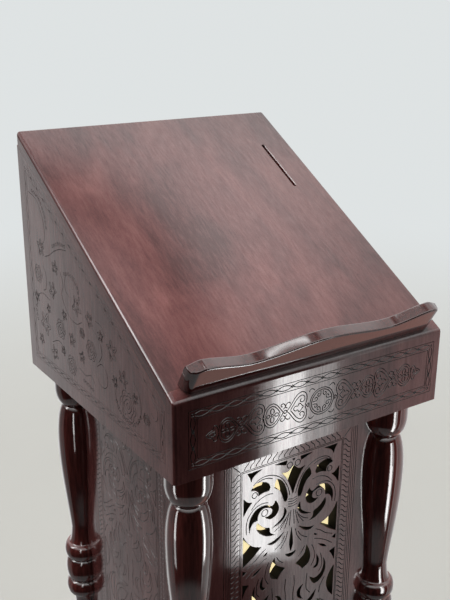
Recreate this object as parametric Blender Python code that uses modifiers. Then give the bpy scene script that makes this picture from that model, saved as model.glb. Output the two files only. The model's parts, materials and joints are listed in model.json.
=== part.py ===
import math

import bmesh
import bpy
from mathutils import Matrix, Vector

# Church lectern: a sloped desk box on a square cabinet with turned columns at its corners.
# Metres, +Z up, front towards -Y, origin on the floor under the middle of the desk.

# Fits
SEAT_GAP = 0.0003           # between pieces that touch or run in each other
DOOR_GAP = 0.0015           # round each door

# Desk box
DESK_WIDTH = 0.450
DESK_DEPTH = 0.450
DESK_FRONT_HEIGHT = 0.110
DESK_BACK_HEIGHT = 0.373
TOP_THICKNESS = 0.018
DESK_WALL = 0.016
ARRIS_RADIUS = 0.005
BACK_RECESS = 0.008         # back frame behind the rear edges of the sides
DESK_STILE_WIDTH = 0.060
DESK_RAIL_HEIGHT = 0.060

# Slot in the desk top
SLOT_LENGTH = 0.105
SLOT_WIDTH = 0.005
SLOT_FROM_RIGHT_EDGE = 0.053
SLOT_CENTRE_UP_SLOPE = 0.381

# Book ledge
LEDGE_LENGTH = 0.412
LEDGE_THICKNESS = 0.0175
LEDGE_SETBACK = 0.008
LEDGE_CROWN_HEIGHT = 0.041
LEDGE_DIP_HEIGHT = 0.029
LEDGE_DIP_FROM_END = 0.092
LEDGE_PEAK_HEIGHT = 0.0425
LEDGE_PEAK_FROM_END = 0.020
LEDGE_TIP_HEIGHT = 0.036
LEDGE_CORNER_RADIUS = 0.012     # front corners of the ends, in plan
LEDGE_EASING = 0.002

# Cabinet
COLUMN_INSET = 0.050        # column axes, and so the cabinet's faces, behind the desk's edges
PANEL_THICKNESS = 0.018
CABINET_WALL = 0.016
CABINET_STILE_WIDTH = 0.056
CABINET_RAIL_HEIGHT = 0.060
DOOR_EASING = 0.001

# Pierced field of the front panel and the board behind it
FIELD_WIDTH = 0.172
FIELD_END_MARGIN = 0.054
BACKING_THICKNESS = 0.004
STRIP_THICKNESS = 0.005
STRIP_WIDTH = 0.020
STRIP_FROM_FIELD = 0.012

# Shelf
SHELF_HEIGHT = 0.430
SHELF_THICKNESS = 0.016
SHELF_FRONT_ROOM = 0.010
SHELF_BACK_ROOM = 0.022
CLEAT_SIZE = 0.018

# Turned columns
COLUMN_LENGTH = 0.754
CUP_RADIUS = 0.0324
CUP_HEIGHT = 0.061
CUP_BOWL_HEIGHT = 0.029
NECK_RADIUS = 0.0190
BELLY_RADIUS = 0.0322
BELLY_DEPTH = 0.126         # below the top of the column
WAIST_RADIUS = 0.0190
WAIST_DEPTH = 0.291
BEAD_RADIUS = 0.0323
BEAD_HEIGHT = 0.029
GROOVE_RADIUS = 0.0248
BALL_RADIUS = 0.0316
BALL_HEIGHT = 0.042
BALL_DEPTH = 0.372          # of its middle, below the top of the column
COLUMN_SIDES = 16

# Plinth
PLINTH_WIDTH = 0.480
PLINTH_TOP_THICKNESS = 0.020
PLINTH_EDGE_RADIUS = 0.006
SKIRT_HEIGHT = 0.053
SKIRT_THICKNESS = 0.024
SKIRT_INSET = 0.010
GLIDE_RADIUS = 0.011
GLIDE_FOOT_RADIUS = 0.0099
GLIDE_HEIGHT = 0.005

# Butt hinges
HINGE_LENGTH = 0.050
HINGE_LEAF_WIDTH = 0.018
HINGE_LEAF_THICKNESS = 0.0015
HINGE_BARREL_RADIUS = 0.0035
HINGE_PIN_RADIUS = 0.0015
HINGE_PIN_HEAD_RADIUS = 0.0026
HINGE_PIN_HEAD_HEIGHT = 0.0012
HATCH_HINGE_FROM_EDGE = 0.045
CABINET_HINGE_FROM_EDGE = 0.100

# Cam locks and knob
LOCK_FROM_EDGE = 0.028
LOCK_FLANGE_RADIUS = 0.011
LOCK_FLANGE_THICKNESS = 0.002
LOCK_BARREL_RADIUS = 0.0085
LOCK_PLUG_RADIUS = 0.0052
LOCK_TAIL_RADIUS = 0.003
LOCK_INSIDE = 0.0015        # barrel beyond the inner face of the door
CAM_THICKNESS = 0.0025
CAM_WIDTH = 0.014
CAM_REACH = 0.040
NUT_ACROSS_FLATS = 0.010
NUT_THICKNESS = 0.004
KNOB_RADIUS = 0.013
KNOB_FOOT_RADIUS = 0.009
KNOB_FOOT_HEIGHT = 0.003
KNOB_NECK_RADIUS = 0.006
KNOB_LENGTH = 0.027
KNOB_ABOVE_LOCK = 0.060

# Fineness of the meshes
ROUND_STEPS = 12
WELD_DISTANCE = 0.00002
FLAT_ANGLE = 0.001
SMOOTH_ANGLE = math.radians(35)
EASED_ANGLE = math.radians(40)

# Levels and planes worked out from the sizes above
PLINTH_TOP = GLIDE_HEIGHT + SEAT_GAP + SKIRT_HEIGHT + SEAT_GAP + PLINTH_TOP_THICKNESS
DESK_BOTTOM = PLINTH_TOP + COLUMN_LENGTH + 2 * SEAT_GAP
CABINET_BOTTOM = PLINTH_TOP + SEAT_GAP
CABINET_TOP = DESK_BOTTOM - SEAT_GAP
SLOPE = math.atan2(DESK_BACK_HEIGHT - DESK_FRONT_HEIGHT, DESK_DEPTH)
HALF_WIDTH = DESK_WIDTH / 2
HALF_DEPTH = DESK_DEPTH / 2
FASCIA_BACK = -HALF_DEPTH + DESK_WALL
CABINET_X = HALF_WIDTH - COLUMN_INSET
CABINET_Y = HALF_DEPTH - COLUMN_INSET
BORE_RADIUS = HINGE_PIN_RADIUS + SEAT_GAP
HINGE_AXIS_OUT = HINGE_BARREL_RADIUS + SEAT_GAP

# Corners in the order of quarter turns, with the signs of x and y
CORNERS = (("front_left", -1, -1), ("front_right", 1, -1), ("back_right", 1, 1), ("back_left", -1, 1))

# The pierced field is drawn in millimetres: across from the middle line, down from the top edge.
DRAWN_HALF_WIDTH = 86
DRAWN_HALF_HEIGHT = 323
DROP_WIDEST = 0.68          # widest place of a drop, as a share of its length


def tip(across, down):
    return (across, down, True)


def drop_shape(top, bottom, half_width):
    low = top + DROP_WIDEST * (bottom - top)
    return [tip(0, top), (half_width, low), tip(0, bottom), (-half_width, low)]


# Cut-outs to the right of the middle line, in the upper half of the field
SCROLL_CUTOUTS = {
    "corner_wedge": [tip(80.5, 0), tip(56, 0), (67, 5), (72, 9.5), tip(74, 14), (76, 7)],
    "crown_wedge": [tip(33.5, 0), tip(12, 0), tip(13.5, 6.5), (22, 4)],
    "corner_bean": [tip(74, 28), (67, 21), (56, 20.5), (45.5, 25), (41, 33), tip(43, 38), (52, 38),
                    tip(61, 40.5), (61.5, 35), (66, 30.5)],
    "side_wedge": [tip(86, 38), tip(86, 65), (80, 56), tip(72, 47.5), (78, 46), (82.5, 42)],
    "stem_wedge": [tip(29, 23.5), (22, 28), (15.5, 37), (11, 49), (9.5, 60), (12.5, 66), (17, 60),
                   (19.5, 52), (24, 44), tip(33, 37), (32, 30)],
    "volute_channel": [tip(75.5, 96), (76.5, 83), (74, 73), (66, 63), (55, 59.5), (45, 61), (38, 65),
                       (34, 63.5), tip(30.5, 58), (26.5, 65), (24.7, 74), (29, 82), (37, 85.5),
                       (44.5, 83), tip(48.5, 79.5), (42.5, 79.5), (37.5, 76.5), (36.3, 70.5),
                       (42, 66), (51, 64), (57.5, 67), (61, 73), tip(62, 80), (69, 81.5), (73.5, 87)],
    "volute_bean": [tip(62, 84.5), (57, 90), (50, 96), tip(40.5, 100), (39.5, 107), (35.5, 112),
                    tip(30.5, 114.5), (43, 112.5), (54, 106), (61, 98), (63.3, 91)],
    "volute_crescent": [tip(14, 75), (10.5, 82), (13, 90.5), (22, 98.5), tip(36, 102), (24, 95.5),
                        (16, 87.5)],
    "lower_crescent": [tip(43.5, 126), (35, 130), (25, 127), tip(13, 116), (24, 121.5), (35, 125.5)],
    "side_triangle": [tip(86, 99), (77.5, 113), (67, 122), tip(54.5, 127), (62, 133), (70, 140),
                      tip(86, 150)],
    "leaf_eye": [tip(51, 145), (47, 141.5), tip(43, 140), (46, 144)],
    "side_notch": [tip(86, 156), tip(79, 160), tip(86, 164)],
    "leaf_slit": [tip(70.5, 173), (64.5, 167), tip(52.5, 161.5), (62, 170)],
    "lobe_kite": [tip(30, 154.5), (35, 165), (37.5, 177), (34, 188.5), tip(24, 194.5), (18.5, 187.5),
                  tip(9.5, 180), (18, 175), (26.5, 168)],
    "small_hook": [tip(50, 179), (54.5, 188), (54.5, 197), (50, 203), tip(44, 201), (49.5, 197.5),
                   (51, 190)],
    "lower_side_wedge": [tip(86, 180), tip(75.5, 183.5), (81, 191), tip(86, 202)],
    "lower_arc": [tip(64, 190), (68.5, 202), (67.5, 216), (59, 228.5), (50, 231.5), (43.5, 226),
                  tip(38.5, 215.5), (49, 221), (60, 216), (65, 204)],
    "lower_hook": [tip(26.5, 223), (19, 226.5), (15, 234), (17.5, 244), tip(27, 250.5), (21.5, 241),
                   (21.5, 231)],
    "side_bow": [tip(86, 212), (77, 224), (72.5, 240), (77, 256), tip(86, 268)],
    "under_crescent": [tip(52, 243), (47, 256), (36, 265), (23, 267), tip(11, 260), (25, 260.5),
                       (38, 255)],
    "long_leaf": [tip(55, 262), (66, 273), (72, 290), (70, 306), tip(61, 318), (62, 302), (58, 282)],
    "inner_leaf": [tip(13, 276), (30, 277), (43, 287), (48, 301), tip(44, 315), (36, 303), (24, 295)],
}

# Cut-outs on the middle line, in the upper half of the field
CENTRE_CUTOUTS = {
    "crown_notch": [tip(-3, 0), tip(3, 0), tip(0, 3.5)],
    "heart": [tip(0, 11), (8, 18), (14, 19), tip(21, 17), (12, 28), (5, 43), tip(0, 57), (-5, 43),
              (-12, 28), tip(-21, 17), (-14, 19), (-8, 18)],
    "tear": drop_shape(113, 154, 3.3),
    "cup_slot": [tip(-10, 156), (0, 157.5), tip(10, 156), (6, 161), (0, 163.5), (-6, 161)],
    "pendant": drop_shape(266, 300, 4.5),
}

# Cut-outs right of the middle line that cross the level line half way down
LEVEL_CUTOUTS = {
    "level_bow": [tip(86, 286), (79, 304), (77, 323), (79, 342), tip(86, 360)],
    "level_crescent": [tip(14, 309), (27, 315), (31, 323), (27, 331), tip(14, 337), (20, 323)],
}


def clear_scene():
    for obj in list(bpy.data.objects):
        bpy.data.objects.remove(obj, do_unlink=True)


def new_collection(name):
    collection = bpy.data.collections.new(name)
    bpy.context.scene.collection.children.link(collection)
    return collection


def new_finish(name, colour, roughness, metallic=0.0):
    finish = bpy.data.materials.new(name)
    finish.use_nodes = True
    shader = finish.node_tree.nodes["Principled BSDF"]
    shader.inputs["Base Color"].default_value = (*colour, 1.0)
    shader.inputs["Roughness"].default_value = roughness
    shader.inputs["Metallic"].default_value = metallic
    return finish


clear_scene()
LECTERN = new_collection("church_lectern")
CUTTERS = new_collection("cutters")
STAINED_BOARD = new_finish("stained_board", (0.085, 0.030, 0.026), 0.35)
GLOSS_LACQUER = new_finish("gloss_lacquer", (0.045, 0.012, 0.011), 0.12)
BARE_BOARD = new_finish("bare_board", (0.42, 0.27, 0.15), 0.65)
GOLD_BOARD = new_finish("gold_board", (0.72, 0.58, 0.22), 0.45)
BRASS = new_finish("brass", (0.62, 0.44, 0.16), 0.3, 1.0)
STEEL = new_finish("steel", (0.62, 0.62, 0.60), 0.3, 1.0)
DARK_PAD = new_finish("dark_pad", (0.03, 0.03, 0.03), 0.6)


def evaluated_mesh(obj):
    graph = bpy.context.evaluated_depsgraph_get()
    return bpy.data.meshes.new_from_object(obj.evaluated_get(graph))


def link_temporary(name, data):
    obj = bpy.data.objects.new(name, data)
    CUTTERS.objects.link(obj)
    return obj


def mesh_of(name, work):
    mesh = bpy.data.meshes.new(name)
    work.to_mesh(mesh)
    work.free()
    return mesh


def weld(mesh, merge_flat):
    work = bmesh.new()
    work.from_mesh(mesh)
    bmesh.ops.remove_doubles(work, verts=work.verts, dist=WELD_DISTANCE)
    if merge_flat:
        bmesh.ops.dissolve_limit(work, angle_limit=FLAT_ANGLE, verts=work.verts, edges=work.edges)
    work.to_mesh(mesh)
    work.free()


def box_mesh(name, size):
    work = bmesh.new()
    bmesh.ops.create_cube(work, size=1.0)
    bmesh.ops.scale(work, vec=size, verts=work.verts)
    return mesh_of(name, work)


def cylinder_mesh(name, radius, length, centre=(0.0, 0.0, 0.0), top_radius=None):
    work = bmesh.new()
    upper = radius if top_radius is None else top_radius
    bmesh.ops.create_cone(work, cap_ends=True, segments=ROUND_STEPS, radius1=radius, radius2=upper,
                          depth=length, matrix=Matrix.Translation(centre))
    return mesh_of(name, work)


def add_knots(curve, knots):
    # Sharp knots end a stretch; the rest are passed smoothly.
    straight = all(len(knot) == 3 for knot in knots)
    spline = curve.splines.new("POLY" if straight else "BEZIER")
    points = spline.points if straight else spline.bezier_points
    points.add(len(knots) - 1)
    spline.use_cyclic_u = True
    places = [Vector((knot[0], knot[1], 0.0)) for knot in knots]
    for index, point in enumerate(points):
        here = places[index]
        if straight:
            point.co = (*here, 1.0)
            continue
        before = places[index - 1]
        after = places[(index + 1) % len(places)]
        point.co = here
        point.handle_left_type = "FREE"
        point.handle_right_type = "FREE"
        if len(knots[index]) == 3:
            point.handle_left = here.lerp(before, 1 / 3)
            point.handle_right = here.lerp(after, 1 / 3)
        else:
            along = (after - before).normalized()
            point.handle_left = here - along * (here - before).length / 3
            point.handle_right = here + along * (after - here).length / 3


def outline_mesh(name, loops, thickness, resolution=4, merge_flat=True):
    curve = bpy.data.curves.new(name, "CURVE")
    curve.dimensions = "2D"
    curve.fill_mode = "BOTH"
    curve.extrude = thickness / 2
    curve.resolution_u = resolution
    for knots in loops:
        add_knots(curve, knots)
    drawing = link_temporary(name + "_outline", curve)
    mesh = evaluated_mesh(drawing)
    bpy.data.objects.remove(drawing)
    weld(mesh, merge_flat)
    return mesh


def turned_mesh(name, profile, steps, start_turn=0.0):
    # The profile runs down the outer side, from top to bottom.
    mesh = bpy.data.meshes.new(name + "_profile")
    turn = Matrix.Rotation(start_turn, 3, "Z")
    places = [turn @ Vector((radius, 0.0, height)) for radius, height in profile]
    closed = profile[0][0] > 0
    edges = [(index, index + 1) for index in range(len(places) - 1)]
    if closed:
        edges.append((len(places) - 1, 0))
    mesh.from_pydata(places, edges, [])
    blank = link_temporary(name + "_blank", mesh)
    screw = blank.modifiers.new("turning", "SCREW")
    screw.angle = 2 * math.pi
    screw.steps = steps
    screw.render_steps = steps
    screw.use_merge_vertices = True
    screw.merge_threshold = 0.00001
    turned = evaluated_mesh(blank)
    bpy.data.objects.remove(blank)
    return turned


def worked_mesh(name, mesh, steps):
    # Each step joins or cuts with another closed mesh.
    blank = link_temporary(name + "_blank", mesh)
    tools = []
    for operation, tool_mesh in steps:
        tool = link_temporary(name + "_tool", tool_mesh)
        work = blank.modifiers.new(operation.lower(), "BOOLEAN")
        work.operation = operation
        work.solver = "EXACT"
        work.object = tool
        tools.append(tool)
    result = evaluated_mesh(blank)
    for obj in [blank] + tools:
        bpy.data.objects.remove(obj)
    return result


def round_edges(mesh, radius, segments, chosen):
    work = bmesh.new()
    work.from_mesh(mesh)
    edges = [edge for edge in work.edges if chosen(edge)]
    bmesh.ops.bevel(work, geom=edges, offset=radius, segments=segments, profile=0.5, affect="EDGES")
    work.to_mesh(mesh)
    work.free()


def add_part(name, mesh, finish, place, turn=(0.0, 0.0, 0.0), parent=None, smooth=False):
    part = bpy.data.objects.new(name, mesh)
    LECTERN.objects.link(part)
    origin = Vector((0.0, 0.0, 0.0))
    if parent is not None:
        part.parent = parent
        origin = parent.matrix_world.translation
    part.location = Vector(place) - origin
    part.rotation_euler = turn
    mesh.materials.clear()
    mesh.materials.append(finish)
    if smooth:
        mesh.shade_smooth()
        mesh.set_sharp_from_angle(angle=SMOOTH_ANGLE)
    return part


def add_axis(name, place, parent=None):
    axis = bpy.data.objects.new(name, None)
    LECTERN.objects.link(axis)
    origin = Vector((0.0, 0.0, 0.0))
    if parent is not None:
        axis.parent = parent
        origin = parent.matrix_world.translation
    axis.location = Vector(place) - origin
    bpy.context.view_layer.update()
    return axis


def add_board(name, finish, low, high, parent=None, easing=0.0):
    size = Vector(high) - Vector(low)
    centre = (Vector(high) + Vector(low)) / 2
    board = add_part(name, box_mesh(name, size), finish, centre, parent=parent)
    if easing:
        bevel = board.modifiers.new("easing", "BEVEL")
        bevel.width = easing
        bevel.segments = 1
    return board


def cut_part(part, tool_mesh, place, turn=(0.0, 0.0, 0.0)):
    tool = link_temporary(part.name + "_cutter", tool_mesh)
    tool.location = place
    tool.rotation_euler = turn
    tool.hide_render = True
    tool.display_type = "WIRE"
    cut = part.modifiers.new("cut", "BOOLEAN")
    cut.operation = "DIFFERENCE"
    cut.solver = "EXACT"
    cut.object = tool


def slope_height(y, drop=0.0):
    # Level of the sloped upper face at depth y, less a drop measured square to it.
    front = DESK_BOTTOM + DESK_FRONT_HEIGHT
    return front + (y + HALF_DEPTH) * math.tan(SLOPE) - drop / math.cos(SLOPE)


def slope_place(x, up_slope, out):
    # A point on the sloped face, up the slope from its front edge and out along its normal.
    across = math.cos(SLOPE)
    rise = math.sin(SLOPE)
    y = -HALF_DEPTH + up_slope * across - out * rise
    return (x, y, slope_height(-HALF_DEPTH) + up_slope * rise + out * across)


def under_top_outline(y_front, y_back, bottom):
    # Side view of an upright board whose top edge follows the underside of the desk top.
    drop = TOP_THICKNESS + SEAT_GAP
    return [tip(y_front, bottom), tip(y_back, bottom), tip(y_back, slope_height(y_back, drop)),
            tip(y_front, slope_height(y_front, drop))]


SIDE_VIEW = (math.pi / 2, 0.0, math.pi / 2)     # drawing of y and z, thickness along x
FRONT_VIEW = (math.pi / 2, 0.0, 0.0)            # drawing of x and z, thickness along y


def add_side_drawn(name, finish, outline, x_low, x_high):
    mesh = outline_mesh(name, [outline], x_high - x_low)
    return add_part(name, mesh, finish, ((x_low + x_high) / 2, 0.0, 0.0), SIDE_VIEW)


def build_desk_top():
    # The board starts behind the fascia, and the ledge covers that seam.
    front = FASCIA_BACK + SEAT_GAP
    outline = [tip(front, slope_height(front)), tip(front, slope_height(front, TOP_THICKNESS)),
               tip(HALF_DEPTH, slope_height(HALF_DEPTH, TOP_THICKNESS)),
               tip(HALF_DEPTH, slope_height(HALF_DEPTH))]
    top = add_side_drawn("desk_top", STAINED_BOARD, outline, -HALF_WIDTH, HALF_WIDTH)

    def outer_upper(edge):
        levels = [vert.co.y - slope_height(vert.co.x, TOP_THICKNESS / 2) for vert in edge.verts]
        behind_seam = max(vert.co.x for vert in edge.verts) > front + SEAT_GAP
        return max(levels) > 0 and behind_seam

    round_edges(top.data, ARRIS_RADIUS, 3, outer_upper)
    straight = (SLOT_LENGTH - SLOT_WIDTH) / 2
    ends = [(end, math.pi * (step / 6 + (0 if end > 0 else 1))) for end in (1, -1) for step in range(7)]
    slot = [tip(SLOT_WIDTH / 2 * math.cos(angle), end * straight + SLOT_WIDTH / 2 * math.sin(angle))
            for end, angle in ends]
    tool = outline_mesh("slot", [slot], 4 * TOP_THICKNESS)
    place = slope_place(HALF_WIDTH - SLOT_FROM_RIGHT_EDGE, SLOT_CENTRE_UP_SLOPE, 0.0)
    cut_part(top, tool, place, (SLOPE, 0.0, 0.0))


def build_desk_walls():
    outline = [tip(-HALF_DEPTH, DESK_BOTTOM), tip(FASCIA_BACK, DESK_BOTTOM),
               tip(FASCIA_BACK, slope_height(FASCIA_BACK)), tip(-HALF_DEPTH, slope_height(-HALF_DEPTH))]
    fascia = add_side_drawn("desk_fascia", STAINED_BOARD, outline, -HALF_WIDTH, HALF_WIDTH)

    def front_or_upper(edge):
        at_front = min(vert.co.x for vert in edge.verts) < -HALF_DEPTH + SEAT_GAP
        return at_front and max(vert.co.y for vert in edge.verts) > DESK_BOTTOM + DESK_FRONT_HEIGHT / 2

    round_edges(fascia.data, ARRIS_RADIUS, 3, front_or_upper)
    outline = under_top_outline(FASCIA_BACK + SEAT_GAP, HALF_DEPTH, DESK_BOTTOM)
    inside = HALF_WIDTH - DESK_WALL
    add_side_drawn("desk_side_left", STAINED_BOARD, outline, -HALF_WIDTH, -inside)
    add_side_drawn("desk_side_right", STAINED_BOARD, outline, inside, HALF_WIDTH)
    back_inner = HALF_DEPTH - BACK_RECESS - DESK_WALL
    add_board("desk_floor", BARE_BOARD, (-inside + SEAT_GAP, FASCIA_BACK + SEAT_GAP, DESK_BOTTOM),
              (inside - SEAT_GAP, back_inner - SEAT_GAP, DESK_BOTTOM + DESK_WALL))


def desk_doorway():
    # Low and high corners of the doorway in the desk's back frame.
    inner = HALF_DEPTH - BACK_RECESS - DESK_WALL
    half = HALF_WIDTH - DESK_WALL - SEAT_GAP - DESK_STILE_WIDTH
    top = slope_height(inner, TOP_THICKNESS + SEAT_GAP) - DESK_RAIL_HEIGHT
    return (Vector((-half, inner, DESK_BOTTOM + DESK_RAIL_HEIGHT)), Vector((half, inner + DESK_WALL, top)))


def build_desk_back():
    low, high = desk_doorway()
    stile_outline = under_top_outline(low.y, high.y, DESK_BOTTOM)
    outer = high.x + DESK_STILE_WIDTH
    add_side_drawn("desk_back_stile_left", STAINED_BOARD, stile_outline, -outer, low.x)
    add_side_drawn("desk_back_stile_right", STAINED_BOARD, stile_outline, high.x, outer)
    rail = high.x - SEAT_GAP
    top_outline = under_top_outline(low.y, high.y, high.z)
    add_side_drawn("desk_back_rail_top", STAINED_BOARD, top_outline, -rail, rail)
    add_board("desk_back_rail_bottom", STAINED_BOARD, (-rail, low.y, DESK_BOTTOM), (rail, high.y, low.z))


def cabinet_doorway():
    # Low and high corners of the doorway in the cabinet's back frame.
    half = CABINET_X - CABINET_STILE_WIDTH
    low = Vector((-half, CABINET_Y - CABINET_WALL, CABINET_BOTTOM + CABINET_RAIL_HEIGHT))
    return low, Vector((half, CABINET_Y, CABINET_TOP - CABINET_RAIL_HEIGHT))


def build_cabinet_back():
    low, high = cabinet_doorway()
    for name, x_low, x_high in (("left", -CABINET_X, low.x), ("right", high.x, CABINET_X)):
        add_board("cabinet_back_stile_" + name, STAINED_BOARD, (x_low, low.y, CABINET_BOTTOM),
                  (x_high, high.y, CABINET_TOP))
    rail = high.x - SEAT_GAP
    for name, z_low, z_high in (("bottom", CABINET_BOTTOM, low.z), ("top", high.z, CABINET_TOP)):
        add_board("cabinet_back_rail_" + name, STAINED_BOARD, (-rail, low.y, z_low), (rail, high.y, z_high))


def ledge_plan():
    # Seen from above: square at the back, round at the front corners.
    half = LEDGE_LENGTH / 2
    depth = LEDGE_THICKNESS / 2
    flat = half - LEDGE_CORNER_RADIUS
    turns = [math.radians(15 * step) for step in range(7)]
    corner = [(flat + LEDGE_CORNER_RADIUS * math.cos(turn),
               -depth + LEDGE_CORNER_RADIUS * (1 - math.sin(turn))) for turn in turns]
    right = [tip(half, depth)] + [tip(x, y) for x, y in corner]
    return right + [tip(-x, y) for x, y, sharp in reversed(right)]


def build_ledge():
    half = LEDGE_LENGTH / 2
    dip = half - LEDGE_DIP_FROM_END
    peak = half - LEDGE_PEAK_FROM_END
    right = [tip(half, 0.0), tip(half, LEDGE_TIP_HEIGHT), (peak, LEDGE_PEAK_HEIGHT), (dip, LEDGE_DIP_HEIGHT)]
    left = [(-knot[0], *knot[1:]) for knot in reversed(right)]
    outline = right + [(0.0, LEDGE_CROWN_HEIGHT)] + left
    mesh = outline_mesh("book_ledge", [outline], LEDGE_THICKNESS, resolution=6)
    plan = outline_mesh("book_ledge_plan", [ledge_plan()], 4 * LEDGE_PEAK_HEIGHT)
    plan.transform(Matrix.Rotation(-math.pi / 2, 4, "X"))
    mesh = worked_mesh("book_ledge", mesh, [("INTERSECT", plan)])
    place = slope_place(0.0, LEDGE_SETBACK + LEDGE_THICKNESS / 2, SEAT_GAP)
    ledge = add_part("book_ledge", mesh, GLOSS_LACQUER, place, (math.pi / 2 + SLOPE, 0.0, 0.0), smooth=True)
    bevel = ledge.modifiers.new("easing", "BEVEL")
    bevel.width = LEDGE_EASING
    bevel.segments = 2
    bevel.limit_method = "ANGLE"
    bevel.angle_limit = EASED_ANGLE


def field_loops():
    # Every cut-out of the pierced field, mirrored across both middle lines.
    width = FIELD_WIDTH / 2 / DRAWN_HALF_WIDTH
    half_height = (CABINET_TOP - CABINET_BOTTOM) / 2 - FIELD_END_MARGIN
    height = half_height / DRAWN_HALF_HEIGHT

    def placed(knots, side, end):
        shape = [(side * knot[0] * width, end * (DRAWN_HALF_HEIGHT - knot[1]) * height, *knot[2:])
                 for knot in knots]
        return shape if side * end > 0 else shape[::-1]

    loops = []
    for end in (1, -1):
        for knots in CENTRE_CUTOUTS.values():
            loops.append(placed(knots, 1, end))
        for side in (1, -1):
            for knots in SCROLL_CUTOUTS.values():
                loops.append(placed(knots, side, end))
    for side in (1, -1):
        for knots in LEVEL_CUTOUTS.values():
            loops.append(placed(knots, side, 1))
    return loops


def build_front():
    middle = (CABINET_BOTTOM + CABINET_TOP) / 2
    half_height = (CABINET_TOP - CABINET_BOTTOM) / 2
    border = [tip(x * CABINET_X, z * half_height) for x, z in ((-1, -1), (1, -1), (1, 1), (-1, 1))]
    mesh = outline_mesh("front_panel", [border] + field_loops(), PANEL_THICKNESS, 2, merge_flat=False)
    add_part("front_panel", mesh, STAINED_BOARD, (0.0, -CABINET_Y + PANEL_THICKNESS / 2, middle), FRONT_VIEW)
    strip_front = -CABINET_Y + PANEL_THICKNESS + SEAT_GAP
    strip_back = strip_front + STRIP_THICKNESS
    strip_inner = FIELD_WIDTH / 2 + STRIP_FROM_FIELD
    strip_outer = strip_inner + STRIP_WIDTH
    for name, x_low in (("left", -strip_outer), ("right", strip_inner)):
        add_board("backing_strip_" + name, BARE_BOARD, (x_low, strip_front, CABINET_BOTTOM),
                  (x_low + STRIP_WIDTH, strip_back, CABINET_TOP))
    backing_front = strip_back + SEAT_GAP
    add_board("front_backing", GOLD_BOARD, (-strip_outer, backing_front, CABINET_BOTTOM),
              (strip_outer, backing_front + BACKING_THICKNESS, CABINET_TOP))
    return backing_front + BACKING_THICKNESS


def build_cabinet_sides():
    front = -CABINET_Y + PANEL_THICKNESS + SEAT_GAP
    back = CABINET_Y - CABINET_WALL - SEAT_GAP
    for name, x_low in (("left", -CABINET_X), ("right", CABINET_X - CABINET_WALL)):
        add_board("cabinet_side_" + name, STAINED_BOARD, (x_low, front, CABINET_BOTTOM),
                  (x_low + CABINET_WALL, back, CABINET_TOP))


def build_shelf(backing_face):
    inside = CABINET_X - CABINET_WALL - SEAT_GAP
    front = backing_face + SHELF_FRONT_ROOM
    back = CABINET_Y - CABINET_WALL - SHELF_BACK_ROOM
    add_board("shelf", BARE_BOARD, (-inside, front, SHELF_HEIGHT),
              (inside, back, SHELF_HEIGHT + SHELF_THICKNESS))
    top = SHELF_HEIGHT - SEAT_GAP
    for name, x_low in (("left", -inside), ("right", inside - CLEAT_SIZE)):
        add_board("shelf_cleat_" + name, BARE_BOARD, (x_low, front, top - CLEAT_SIZE),
                  (x_low + CLEAT_SIZE, back, top))


def arc(centre_radius, centre_depth, radius, depth, start, end, steps):
    # Points on an elliptical arc of the column's profile, as radius and depth below the top.
    angles = [math.radians(start + (end - start) * step / steps) for step in range(steps + 1)]
    return [(centre_radius + radius * math.cos(angle), centre_depth + depth * math.sin(angle))
            for angle in angles]


def column_profile():
    bead_centre = BALL_DEPTH - BALL_HEIGHT / 2 - BEAD_HEIGHT / 2
    bowl_top = CUP_HEIGHT - CUP_BOWL_HEIGHT
    half = [(0.0, 0.0), (CUP_RADIUS, 0.0)]
    half += arc(NECK_RADIUS, bowl_top, CUP_RADIUS - NECK_RADIUS, CUP_BOWL_HEIGHT, 0, 90, 3)
    shoulder = BELLY_DEPTH - CUP_HEIGHT
    half += arc(NECK_RADIUS, BELLY_DEPTH, BELLY_RADIUS - NECK_RADIUS, shoulder, -75, 0, 3)
    taper = WAIST_DEPTH - BELLY_DEPTH
    for step in (1, 2, 3, 4, 5):
        share = 0.7 * math.cos(math.pi * step / 10) + 0.15 * (1 + math.cos(math.pi * step / 5))
        half.append((WAIST_RADIUS + (BELLY_RADIUS - WAIST_RADIUS) * share, BELLY_DEPTH + taper * step / 5))
    flare = bead_centre - BEAD_HEIGHT / 2 - WAIST_DEPTH
    half += arc(GROOVE_RADIUS, WAIST_DEPTH, WAIST_RADIUS - GROOVE_RADIUS, flare, 45, 90, 1)
    half += arc(GROOVE_RADIUS, bead_centre, BEAD_RADIUS - GROOVE_RADIUS, BEAD_HEIGHT / 2, -45, 90, 3)
    half += arc(GROOVE_RADIUS, BALL_DEPTH, BALL_RADIUS - GROOVE_RADIUS, BALL_HEIGHT / 2, -50, 0, 2)
    stretch = (COLUMN_LENGTH - BALL_DEPTH) / BALL_DEPTH
    lower = [(radius, COLUMN_LENGTH - depth * stretch) for radius, depth in reversed(half[:-1])]
    return [(radius, -depth) for radius, depth in half + lower]


def build_columns():
    turned = turned_mesh("column", column_profile(), COLUMN_SIDES, math.pi / COLUMN_SIDES)
    notch = box_mesh("column_notch", (2 * CUP_RADIUS, 2 * CUP_RADIUS, 2 * COLUMN_LENGTH))
    corner = CUP_RADIUS - SEAT_GAP
    notch.transform(Matrix.Translation((corner, corner, 0.0)))
    mesh = worked_mesh("column", turned, [("DIFFERENCE", notch)])
    for quarter, (name, x, y) in enumerate(CORNERS):
        add_part("column_" + name, mesh, GLOSS_LACQUER, (x * CABINET_X, y * CABINET_Y, CABINET_TOP),
                 (0.0, 0.0, quarter * math.pi / 2), smooth=True)


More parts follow.
